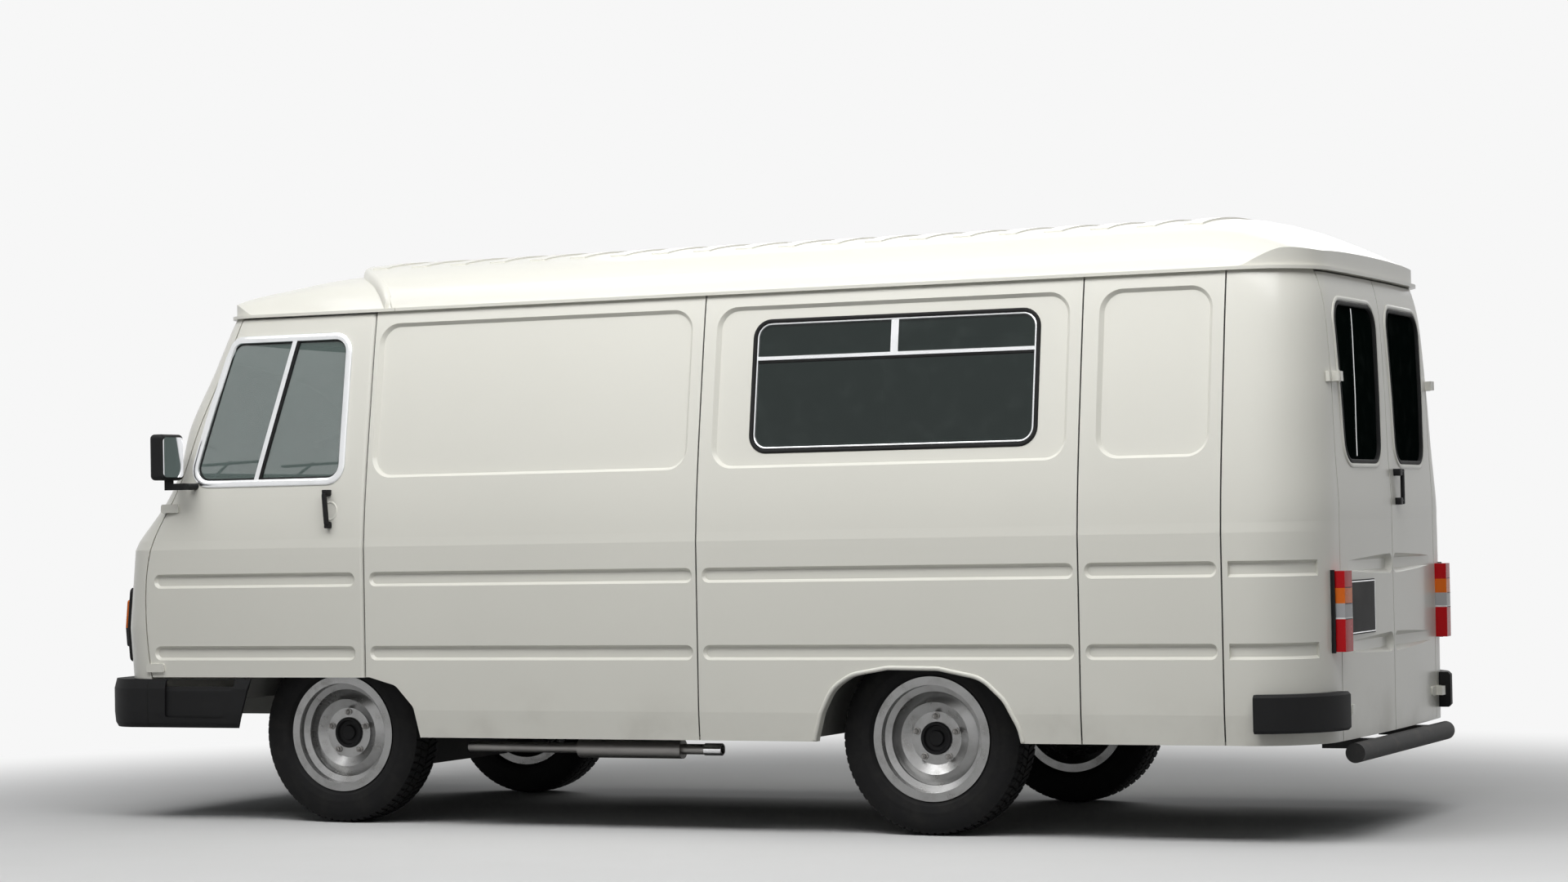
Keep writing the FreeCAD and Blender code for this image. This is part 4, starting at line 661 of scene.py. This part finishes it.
def on_nose(tree):
    """Casts a flat (y, z) place onto the nose."""
    return lambda p: touch(tree, (REACH, p[0], p[1]), (-1, 0, 0))


def pushed(outline, distance):
    """Closed outline moved outwards in its own plane."""
    count = len(outline)
    area = sum(outline[i - 1].cross(outline[i]) for i in range(count))
    turn = 1 if area > 0 else -1
    moved = []
    for index in range(count):
        along = outline[(index + 1) % count] - outline[index - 1]
        if along.length < 1e-6:
            along = outline[(index + 2) % count] - outline[index - 2]
        along = along.normalized()
        moved.append(outline[index] + Vector((along.y, -along.x)) * turn * distance)
    return moved


def cast_strip(line, cast, profile, material, closed=True):
    """Strip along a flat line that is cast onto a surface."""
    hits = [cast(p) for p in line]
    hits = [(point, normal) for point, normal in hits if point is not None]
    return strip([h[0] for h in hits], [h[1] for h in hits], profile, material, closed)


def run_line(points, step=0.012):
    """Open line through points in even steps."""
    result = []
    for here, ahead in zip(points, points[1:]):
        here, ahead = Vector(here), Vector(ahead)
        count = max(1, round((ahead - here).length / step))
        result += [here.lerp(ahead, k / count) for k in range(count)]
    return result + [Vector(points[-1])]


SIDE_WINDOW = rounded_outline(
    rectangle((back(WINDOW_BACK), WINDOW_SILL), (back(WINDOW_FRONT), WINDOW_HEAD)), 0.062)
DOOR_WINDOW = rounded_outline(
    [(back(80), 1.342), (back(-612), 1.342), (back(-462), 1.905), (back(80), 1.905)], 0.062)
REAR_WINDOW = rounded_outline([(0.530, 1.325), (0.110, 1.325), (0.075, 1.885), (0.575, 1.885)], 0.075)
SCREEN = rounded_outline([(-0.772, 1.372), (0.772, 1.372), (0.694, 1.925), (-0.694, 1.925)], 0.09)


def frame_side_windows():
    """Seal, bright frame, rail over the sliding panes, a painted shadow strip under the rail, and post above
    it.
    """
    seals_and_shadow, frames = [], []
    edge, shadow_drop = 0.012, 0.012
    ends = back(WINDOW_BACK) + edge, back(WINDOW_FRONT) - edge
    for _, side in SIDES:
        panel, glass = on_side(PANELS, side), on_side(PANES, side)
        seals_and_shadow.append(cast_strip(pushed(SIDE_WINDOW, 0.001), panel, half_round(0.015, 0.005, 0.012), RUBBER))
        inner = pushed(SIDE_WINDOW, -0.011)
        frames.append(cast_strip(inner, glass, half_round(0.011, 0.010, 0.001), ALUMINIUM))
        rail = run_line([(x, WINDOW_RAIL) for x in ends])
        frames.append(cast_strip(rail, glass, flat_bar(0.014, 0.009), ALUMINIUM, False))
        post = run_line([(back(WINDOW_MIDDLE), z) for z in (WINDOW_RAIL + 0.005, WINDOW_HEAD - edge)])
        frames.append(cast_strip(post, glass, flat_bar(0.030, 0.008), ALUMINIUM, False))
        # Black strip on the glass just under the rail: a painted shadow of the rail.
        shadow = run_line([(x, WINDOW_RAIL - shadow_drop) for x in ends])
        seals_and_shadow.append(cast_strip(shadow, glass, flat_bar(0.007, 0.004), RUBBER, False))
    placed("side_window_seals", seals_and_shadow, RUBBER, "body")
    placed("side_window_frames", frames, ALUMINIUM, "body")


def frame_door_windows():
    """Bright frame and quarter bar on each cab door's window, with their rubbers."""
    for hand, side in SIDES:
        body = "cab_door_" + hand
        panel, glass = on_side(PANELS, side), on_side(PANES, side)
        frame_mesh = cast_strip(pushed(DOOR_WINDOW, 0.004), panel, half_round(0.030, 0.008, 0.012), ALUMINIUM)
        bar_line = run_line([(back(-168), 1.900), (back(-308), 1.346)])
        bar = cast_strip(bar_line, glass, flat_bar(0.020, 0.012), ALUMINIUM, False)
        placed("door_window_frame_" + hand, [frame_mesh, bar], ALUMINIUM, body)
        lip = cast_strip(pushed(DOOR_WINDOW, -0.013), glass, half_round(0.007, 0.004, 0.001), RUBBER)
        edge_line = run_line([(back(-153), 1.897), (back(-293), 1.350)])
        edge = cast_strip(edge_line, glass, flat_bar(0.011, 0.006), RUBBER, False)
        placed("door_window_rubber_" + hand, [lip, edge], RUBBER, body)


def frame_rear_windows():
    """Pressed rim and seal round each rear window, and the bright bar on the left one."""
    for hand, side in SIDES:
        body = "rear_door_" + hand
        outline = [Vector((p.x * side, p.y)) for p in REAR_WINDOW]
        panel, glass = on_tail(PANELS), on_tail(PANES)
        rim = cast_strip(pushed(outline, 0.017), panel, half_round(0.016, 0.005, 0.002), PAINT)
        placed("rear_window_pressing_" + hand, rim, PAINT, body)
        seal = cast_strip(pushed(outline, 0.001), panel, half_round(0.014, 0.005, 0.010), RUBBER)
        placed("rear_window_seal_" + hand, seal, RUBBER, body)
        if hand == "left":
            post = run_line([(0.345, 1.870), (0.382, 1.343)])
            bar = cast_strip(post, glass, flat_bar(0.006, 0.004), ALUMINIUM, False)
            placed("rear_window_bar", bar, ALUMINIUM, body)


def frame_windscreen():
    """Broad rubber seal round the windscreen."""
    seal = cast_strip(pushed(SCREEN, 0.002), on_nose(PANELS), half_round(0.040, 0.015, 0.010), RUBBER)
    placed("windscreen_seal", seal, RUBBER, "body")


# Rear wheel opening: shares of its half length and of its rise over the sill
ARCH_SHARES = (
    (-1, 0), (-0.925, 0.385), (-0.81, 0.72), (-0.62, 0.895), (-0.27, 0.985),
    (0.216, 0.975), (0.63, 0.85), (0.84, 0.56), (0.97, 0.2), (1, 0),
)


def roll_arch_lips():
    """Rolled lip just outside the cut edge of each rear wheel opening."""
    sill, half, rise = 0.346, 399, 0.265
    corners = [(back(WHEELBASE - half), -sill)]
    corners += [(back(WHEELBASE + along * half), sill + up * rise) for along, up in ARCH_SHARES]
    corners += [(back(WHEELBASE + half), -sill)]
    grown = pushed(rounded_outline(corners, 0.140, 0.010), 0.007)
    line = sorted_open([p for p in grown if p.y > sill + 0.002])
    meshes = []
    for _, side in SIDES:
        meshes.append(cast_strip(line, on_side(PANELS, side), half_round(0.016, 0.006, 0.003), PAINT, False))
    placed("rear_arch_lips", meshes, PAINT, "body")


def fill_seams():
    """Black strips sunk in the joints between the side panels: painted shade of the deep gaps, and at the cab
    door also its rubber seal.
    """
    low, high, half_joint = 0.36, 1.99, 4
    for name, width, seams in (
            ("side_joint_seals", 0.0048, PANEL_JOINTS), ("cab_door_seals", 0.0040, DOOR_JOINT)):
        strips = []
        for _, side in SIDES:
            for seam in seams:
                places = run_line([(back(seam + half_joint), low), (back(seam + half_joint), high)], 0.02)
                hits = [hit for hit in map(on_side(PANELS, side), places) if hit[0] is not None]
                path = [point + Vector((0.0064, 0, 0)) - normal * 0.0045 for point, normal in hits]
                strips.append(strip(path, [hit[1] for hit in hits], flat_bar(width, 0.002), RUBBER, False))
        placed(name, strips, RUBBER, "body")


def sorted_open(points):
    """Open run of a cut outline, started at its largest gap."""
    gaps = [(points[i] - points[i - 1]).length for i in range(len(points))]
    first = gaps.index(max(gaps))
    return points[first:] + points[:first]


frame_side_windows()
frame_door_windows()
frame_rear_windows()
frame_windscreen()
roll_arch_lips()
fill_seams()


# Wheels and treaded tyres, made round the Y axis at the origin and then set on their hubs
def ring_tree():
    """Geometry Nodes: copies of one piece turned evenly round the Y axis."""
    entries = (("Piece", "Object"), ("Count", "Int"), ("Offset", "Float"), ("Finish", "Material"))
    tree, made = group_tree("ring_of_pieces", entries, "Ring", {
        "points": ("GeometryNodePoints",),
        "piece": ("GeometryNodeObjectInfo",),
        "place": ("GeometryNodeInstanceOnPoints",),
        "index": ("GeometryNodeInputIndex",),
        "pitch": ("ShaderNodeMath", ("operation", "DIVIDE")),
        "turn": ("ShaderNodeMath", ("operation", "MULTIPLY")),
        "start": ("ShaderNodeMath", ("operation", "MULTIPLY")),
        "join": ("ShaderNodeMath", ("operation", "ADD")),
        "rotation": ("ShaderNodeCombineXYZ",),
        "real": ("GeometryNodeRealizeInstances",),
        "paint": ("GeometryNodeSetMaterial",),
    }, (
        ("in", "Count", "points", "Count"), ("in", "Count", "pitch", 1), ("index", 0, "turn", 0),
        ("pitch", 0, "turn", 1), ("pitch", 0, "start", 0), ("in", "Offset", "start", 1),
        ("turn", 0, "join", 0), ("start", 0, "join", 1), ("join", 0, "rotation", "Y"),
        ("in", "Piece", "piece", "Object"), ("points", 0, "place", "Points"),
        ("piece", "Geometry", "place", "Instance"), ("rotation", 0, "place", "Rotation"),
        ("place", "Instances", "real", "Geometry"), ("real", "Geometry", "paint", "Geometry"),
        ("in", "Finish", "paint", "Material"), ("paint", "Geometry", "out", "Ring"),
    ))
    made["pitch"].inputs[0].default_value = 2 * math.pi
    return tree


RING = ring_tree()


def ring_of(mesh, count, material, offset=0.0):
    """One mesh repeated evenly round the Y axis."""
    piece, holder = linked("piece", mesh), linked("holder", bpy.data.meshes.new("holder"))
    result = applied(holder, RING, {"Piece": piece, "Count": count, "Offset": offset, "Finish": material})
    for helper in (piece, holder):
        bpy.data.objects.remove(helper)
    return cleaned(result)


def lathe(profile, segments, sharp=35):
    """Surface of (across, radius) places turned round the Y axis; a zero radius closes it."""
    points, faces = [], []
    count = len(profile)
    for k in range(segments):
        angle = 2 * math.pi * k / segments
        points += [(r * math.sin(angle), across, r * math.cos(angle)) for across, r in profile]
    for k in range(segments):
        here, ahead = k * count, (k + 1) % segments * count
        faces += [(here + i, here + i + 1, ahead + i + 1, ahead + i) for i in range(count - 1)]
    return closed_mesh("turned", points, faces, sharp)


def prism_block(section, length, skew):
    """Tread block: a section of (across, radius) places run along X, its outer end narrowed."""
    middle, taper = sum(r for _, r in section) / len(section), 0.9
    return loft("block", [[(end * length * (taper if r > middle else 1.0) + skew * across, across, r)
                           for across, r in section] for end in (-0.5, 0.5)])


TYRE_OUT, TYRE_HALF, TYRE_LIP = 0.350, 0.096, 0.228
# Tyre wall from bead to shoulder: shares of the half width and of the rise
WALL = (
    (0.93, 0.12), (0.985, 0.3), (0.995, 0.36), (0.985, 0.39),
    (0.99, 0.45), (0.975, 0.62), (0.925, 0.8), (0.84, 0.92),
)


def treaded_tyre():
    """Carcass with a ridge on its wall, under four rows of tread blocks."""
    rise = TYRE_OUT - TYRE_LIP
    half = [(0.0717, 0.2063), (0.0717, 0.2285)]
    half += [(TYRE_HALF * wide, TYRE_LIP + rise * up) for wide, up in WALL]
    half += [(0.070, 0.3405), (0.035, 0.3425)]
    profile = half + [(-across, r) for across, r in reversed(half)]
    meshes = [lathe(profile + profile[:1], 96)]
    blocks_round = 72
    shoulder = [(0.052, 0.339), (0.052, 0.3482), (0.073, 0.3462), (0.0822, 0.3400), (0.0862, 0.3290),
                (0.080, 0.3290)]
    inner = [(0.005, 0.340), (0.005, 0.3496), (0.046, 0.3488), (0.046, 0.339)]
    for side in (1, -1):
        edge = [(side * across, r) for across, r in shoulder]
        row = [(side * across, r) for across, r in inner]
        meshes.append(ring_of(prism_block(edge, 0.0225, side * 0.10), blocks_round, TYRE, 0.25 * (1 + side)))
        meshes.append(ring_of(prism_block(row, 0.0240, side * 0.35), blocks_round, TYRE, 0.25 * (1 - side)))
    return merged(meshes)


def hub_parts():
    """Hub cap, wheel nuts on their studs, and the tyre valve, for a wheel whose face is at +Y."""
    face = 0.027
    cap = lathe([(-0.010, 0.060), (0.006, 0.060), (0.009, 0.057), (0.009, 0.049), (-0.002, 0.044),
                 (-0.004, 0.030), (0.004, 0.026), (0.004, 0.0)], 48)
    cap.transform(Matrix.Translation((0, face, 0)))
    nut = lathe([(0.0, 0.0), (0.0, 0.0135), (0.004, 0.0135), (0.005, 0.0105), (0.015, 0.0100),
                 (0.018, 0.0070), (0.018, 0.0045), (0.024, 0.0040), (0.024, 0.0)], 6, 20)
    nut.transform(Matrix.Translation((0, face, 0.081)))
    nuts = ring_of(nut, 5, STEEL)
    valve = lathe([(0.050, 0.0), (0.050, 0.0050), (0.070, 0.0040), (0.074, 0.0032), (0.080, 0.0030),
                   (0.080, 0.0)], 12)
    valve.transform(Matrix.Translation((0.13, -0.006, 0.152)))
    return cap, nuts, valve


def dress_wheels():
    """Treaded tyre, hub cap, nuts and valve at each corner."""
    tyre = treaded_tyre()
    cap, nuts, valve = hub_parts()
    for end, axle in (("front", FRONT_AXLE), ("rear", REAR_AXLE)):
        for hand, side in SIDES:
            place, body = end + "_" + hand, end + "_wheel_" + hand
            seat = Matrix.Translation((axle, side * WHEEL_SIDE, WHEEL_HEIGHT))
            if side < 0:
                seat = seat @ Matrix.Rotation(math.pi, 4, "Z")
            for label, mesh, finish, instead_of in (
                    ("treaded_tyre_", tyre, TYRE, ("tyre_" + place,)), ("hub_cap_", cap, SMOOTH_BLACK, ()),
                    ("wheel_nuts_", nuts, STEEL, ()), ("tyre_valve_", valve, RUBBER, ())):
                copy = mesh.copy()
                copy.transform(seat)
                placed(label + place, copy, finish, body, instead_of)


dress_wheels()


# Handles, plate, mirrors, wipers and lamps
def bevelled_box(low, high, edge, steps):
    """Box between two corners with rounded edges."""
    bm = bmesh.new()
    bmesh.ops.create_cube(bm, size=1.0)
    low, high = Vector(low), Vector(high)
    for vertex in bm.verts:
        vertex.co = Vector((low[i] + (vertex.co[i] + 0.5) * (high[i] - low[i]) for i in range(3)))
    bmesh.ops.bevel(bm, geom=list(bm.edges), offset=edge, segments=steps, profile=0.5, affect="EDGES")
    mesh = bpy.data.meshes.new("box")
    bm.to_mesh(mesh)
    bm.free()
    return mesh


def block(low, high, edge):
    """Small moulded block between two corners."""
    return cleaned(bevelled_box(low, high, edge, 2))


def plate_of(outline, level, thick):
    """Flat plate: a closed (across, up) outline run along X from a level."""
    return loft("plate", [[(x, p[0], p[1]) for p in outline] for x in (level, level + thick)])


def cab_door_handles():
    """Upright grab handle on its two feet, and the rim of the pressed dish behind it."""
    middle, lean, high, low = 1.438, 0.004, 1.288, 1.172
    stand_off, foot_half, rooted = 0.024, 0.011, 0.003
    for hand, side in SIDES:
        surface = on_side(PANELS, side)
        places = [surface((middle + lean, high))[0], surface((middle - lean, low))[0]]
        out = max(abs(p.y) for p in places) + stand_off
        inward = Vector((0, side * -0.004, 0))
        bends = [Vector((p.x, side * out, p.z + shift)) for p, shift in zip(places, (-0.004, 0.004))]
        line = run_line([places[0] + inward, *bends, places[1] + inward], 0.006)
        forward = [Vector((1, 0, 0))] * len(line)
        grip = strip(line, forward, flat_bar(0.013, 0.009, 0.003, 0.009), SMOOTH_BLACK, False)
        ends = []
        for p, shift in zip(places, (0.006, -0.006)):
            near, far = sorted((side * out, p.y - side * rooted))
            centre = p.z + shift
            ends.append(block((p.x - foot_half, near, centre - foot_half),
                              (p.x + foot_half, far, centre + foot_half), 0.003))
        placed("cab_door_handle_" + hand, [grip] + ends, SMOOTH_BLACK, "cab_door_" + hand)
        ring = ring_points((1.434, 1.222), 0.030, 0.034, 36)
        rim = cast_strip(ring, surface, half_round(0.008, 0.0025, 0.002), PAINT)
        placed("handle_dish_rim_" + hand, rim, PAINT, "cab_door_" + hand)


def rear_door_handle():
    """Bent rod handle with its two feet and a grip bar."""
    near, far, high, low = -0.075, -0.104, 1.286, 1.180
    surface = on_tail(PANELS)
    top, foot = surface((near, high))[0], surface((near, low))[0]
    out = min(top.x, foot.x) - 0.016
    path = [top + Vector((0.003, 0, 0)), Vector((out, near, high)), Vector((out, far, high)),
            Vector((out, far, low)), Vector((out, near, low)), foot + Vector((0.003, 0, 0))]
    line = run_line(path, 0.006)
    slant = [Vector((0.2, 0.9, 0.3)).normalized()] * len(line)
    pieces = [strip(line, slant, ring_points((0, 0), 0.008, 0.008, 10), SMOOTH_BLACK, False)]
    for p in (top, foot):
        pieces.append(block((out - 0.006, -0.088, p.z - 0.013), (p.x + 0.004, -0.056, p.z + 0.013), 0.003))
    pieces.append(block((out - 0.007, -0.113, 1.168), (out + 0.007, -0.097, 1.298), 0.004))
    placed("rear_door_handle", pieces, SMOOTH_BLACK, "rear_door_right")


def rear_plate():
    """Blank plate with a thin bright border."""
    surface = on_tail(PANELS)
    low, high = (0.257, 0.712), (0.573, 0.904)
    corners = rectangle(low, high)
    level = min(surface(corner)[0].x for corner in corners) - 0.004
    outline = rounded_outline(corners, 0.008, 0.05)
    carrier = plate_of(outline, level, 0.010)
    placed("rear_plate", carrier, RUBBER, "rear_door_left")
    edge = [Vector((level, p.x, p.y)) for p in pushed(outline, -0.006)]
    rearward = [Vector((-1, 0, 0))] * len(edge)
    border = strip(edge, rearward, flat_bar(0.0035, 0.0008, 0.0003, 0.0005), ALUMINIUM)
    placed("rear_plate_border", border, ALUMINIUM, "rear_door_left")


def mirror_glasses():
    """Bright glass set in the rear face of each mirror head."""
    near, far, low, high = 0.962, 1.092, 1.368, 1.526
    for hand, side in SIDES:
        inner, outer = sorted((side * near, side * far))
        outline = rounded_outline(rectangle((inner, low), (outer, high)), 0.016, 0.03)
        hit = touch(probe("mirror_" + hand), (1.6, side * 1.03, 1.45), (1, 0, 0))[0]
        glass = plate_of(outline, hit.x - 0.0015, 0.004)
        placed("mirror_glass_" + hand, glass, CHROME, "cab_door_" + hand)


def wipers():
    """Two blades on the windscreen, each with its arm and its pivot block."""
    screen, nose = on_nose(probe("windscreen")), on_nose(PANELS)
    outer_end, inner_end, pivot_height = 1.418, 1.440, 1.325
    pieces = []
    for start, stop, pivot in ((0.62, 0.16, 0.52), (-0.02, -0.48, -0.10)):
        line = run_line([(start, outer_end), (stop, inner_end)], 0.03)
        hits = [screen(p) for p in line]
        lifted = [p + n * 0.010 for p, n in hits]
        blade = flat_bar(0.008, 0.010, 0.002, 0.009)
        pieces.append(strip(lifted, [n for _, n in hits], blade, RUBBER, False))
        middle = lifted[len(lifted) // 2]
        foot, normal = nose((pivot, pivot_height))
        arm = run_line([foot + normal * 0.004, foot + normal * 0.024, middle + normal * 0.014], 0.02)
        pieces.append(strip(arm, [normal] * len(arm), flat_bar(0.010, 0.005, 0.001, 0.003), RUBBER, False))
        low, high = foot - Vector((0.012, 0.014, 0.014)), foot + Vector((0.018, 0.014, 0.014))
        pieces.append(block(low, high, 0.005))
    placed("wipers", pieces, SMOOTH_BLACK, "body")


def lamp_frames():
    """Black bases beside the tail lamps, and dark seams between their lenses."""
    bases, seams = [], []
    low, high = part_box("tail_lamps")
    panel, lens = on_tail(PANELS), on_tail(probe("tail_lamps"))
    base_side, spare, seam_shares = 0.744, 0.004, (0.405, 0.595, 0.795)
    for _, side in SIDES:
        line = run_line([(side * base_side, z) for z in (low.z - spare, high.z + spare)])
        bases.append(cast_strip(line, panel, flat_bar(0.010, 0.014, 0.003, 0.004), SMOOTH_BLACK, False))
        ends = sorted((side * 0.672, side * 0.735))
        for share in seam_shares:
            height = low.z + (high.z - low.z) * share
            seam = run_line([(y, height) for y in ends], 0.008)
            seams.append(cast_strip(seam, lens, flat_bar(0.0025, 0.0006, 0.0002, 0.001), SMOOTH_BLACK, False))
    placed("tail_lamp_bases", bases, SMOOTH_BLACK, "body")
    placed("tail_lamp_seams", seams, SMOOTH_BLACK, "body")


def grille_surround():
    """Black rim that stands round the grille panel."""
    low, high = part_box("grille_panel")
    inset = 0.004
    y = high.y - inset
    outline = rounded_outline(rectangle((-y, low.z + inset), (y, high.z - inset)), 0.02)
    front = on_nose(probe("grille_panel"))
    rim = cast_strip(pushed(outline, -0.005), front, flat_bar(0.012, 0.012, 0.003, 0.004), SMOOTH_BLACK)
    placed("grille_surround", rim, SMOOTH_BLACK, "body")


def exhaust_tip():
    """Bright sleeve over the tail of the exhaust pipe."""
    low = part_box("exhaust")[0]
    sleeve = lathe([(0.0, 0.0195), (0.0, 0.0235), (0.070, 0.0235), (0.072, 0.0215), (0.070, 0.0195),
                    (0.0, 0.0195)], 32)
    sleeve.transform(Matrix.Translation((low.x + 0.072, 0.600, 0.288)) @ Matrix.Rotation(math.pi / 2, 4, "Z"))
    placed("exhaust_sleeve", sleeve, CHROME, "body")


def lamp_rims():
    """Bright rims round the headlamps."""
    lamps = probe("headlamps")
    low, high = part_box("headlamps")
    rims = []
    radius = (high.z - low.z) / 2
    for _, side in SIDES:
        middle = side * (high.y - radius), (low.z + high.z) / 2
        ring = ring_points(middle, radius - 0.004, radius - 0.004, 64)
        rims.append(cast_strip(ring, on_nose(lamps), half_round(0.009, 0.006, 0.002), CHROME))
    placed("headlamp_rims", rims, CHROME, "body")


def bumper_seams():
    """Dark moulding seams on the sides of the front bumper."""
    bumper = probe("front_bumper")
    seams = []
    for _, side in SIDES:
        line = run_line([(back(-812), z) for z in (0.385, 0.558)])
        section = flat_bar(0.004, 0.0008, 0.0002, 0.002)
        seams.append(cast_strip(line, on_side(bumper, side), section, RUBBER, False))
    placed("bumper_seams", seams, RUBBER, "body")


def roof_joint():
    """Rounded front edge that closes the step from the main roof down to the cab roof."""
    cab, main = probe("cab_roof"), probe("main_roof")
    half, bow, tip = 0.821, 0.429, 1.639
    radius = (half ** 2 + bow ** 2) / (2 * bow)
    section = ((-0.004, 0.95), (0.003, 0.97), (0.010, 0.90), (0.017, 0.74), (0.022, 0.48), (0.024, 0.18),
               (0.024, -0.2), (-0.004, -0.2))
    rows, half_count, outer_side, above = [], 96, 0.812, 3.0
    for k in range(-half_count, half_count + 1):
        y = outer_side * k / half_count
        reach = math.sqrt(radius ** 2 - y ** 2)
        place, ahead = Vector((tip - radius + reach, y, above)), Vector((reach, y, 0)) / radius
        top = touch(main, place - ahead * 0.006, (0, 0, -1))[0]
        foot = touch(cab, place + ahead * 0.012, (0, 0, -1))[0]
        if top and foot:
            step = top.z - foot.z
            rows.append([Vector((place.x, y, foot.z + share * step)) + ahead * out for out, share in section])
    placed("roof_joint", loft("roof_joint", rows, 50), PAINT, "body")


cab_door_handles()
rear_door_handle()
roof_joint()
exhaust_tip()
lamp_rims()
bumper_seams()
grille_surround()
rear_plate()
mirror_glasses()
wipers()
lamp_frames()


# Seats: filled cloth covers in place of the plain pads
def rounded_pad(width, depth, tall, edge):
    """Plump closed pad round the origin, before it is filled."""
    half = Vector((depth, width, tall)) / 2
    return bevelled_box(-half, half, edge, 5)


def filled(mesh, fill_pressure, reach):
    """Cloth cover blown up from inside, each of its points held within a reach of its start."""
    pad = linked("pad", mesh)
    remesh = pad.modifiers.new("remesh", "REMESH")
    remesh.mode, remesh.voxel_size = "VOXEL", 0.006
    fine = settled(pad)
    pad.modifiers.clear()
    pad.data = fine
    start = [v.co.copy() for v in fine.vertices]
    cloth = pad.modifiers.new("cover", "CLOTH")
    cloth.settings.use_pressure = True
    cloth.settings.uniform_pressure_force = fill_pressure
    cloth.settings.effector_weights.gravity = 0
    cloth.settings.quality = 4
    cloth.settings.mass = 0.3
    cloth.collision_settings.use_collision = False
    last_moment = 20
    cloth.point_cache.frame_start, cloth.point_cache.frame_end = 1, last_moment
    scene = bpy.context.scene
    for moment in range(1, last_moment + 1):
        scene.frame_set(moment)
    blown = settled(pad)
    pad.modifiers.clear()
    scene.frame_set(1)
    for vertex, origin in zip(blown.vertices, start):
        move = vertex.co - origin
        vertex.co = origin + move * min(1.0, reach / max(move.length, 1e-6))
    pad.data = blown
    smooth = pad.modifiers.new("smooth", "SUBSURF")
    smooth.levels = smooth.render_levels = 1
    done = settled(pad)
    bpy.data.objects.remove(pad)
    done.shade_smooth()
    return done


def pressed_seams(mesh, axis, lines, depth, half):
    """Sewn grooves pressed into the upper face across the pad."""
    for vertex in mesh.vertices:
        if vertex.co.z > 0:
            for line in lines:
                away = abs(vertex.co[axis] - line) / half
                if away < 1:
                    vertex.co.z -= depth * (0.5 + 0.5 * math.cos(math.pi * away))
    return mesh


def dress_seats():
    """Filled cushion and back, with three sewn seams each, for both seats."""
    width, pressure, most = 0.456, 4.0, 0.006
    seam_depth, seam_half = 0.006, 0.012
    cushion = filled(rounded_pad(width, 0.446, 0.106, 0.026), pressure, most)
    pressed_seams(cushion, 1, (-0.115, 0.0, 0.115), seam_depth, seam_half)
    squab = filled(rounded_pad(width, 0.546, 0.096, 0.028), pressure, most)
    pressed_seams(squab, 0, (-0.13, 0.0, 0.13), seam_depth, seam_half)
    lean, seat_side = math.radians(12), 0.470
    for hand, side in SIDES:
        seat_place = Matrix.Translation((1.584, side * seat_side, 0.852))
        back_place = Matrix.Translation((1.2476, side * seat_side, 1.0893))
        back_place = back_place @ Matrix.Rotation(math.radians(90) - lean, 4, "Y")
        for name, mesh, place in (("seat_cushion_", cushion, seat_place), ("seat_back_", squab, back_place)):
            copy = mesh.copy()
            copy.transform(place)
            pad = placed(name + hand, copy, CLOTH, "body", ("seat_pads",))


dress_seats()
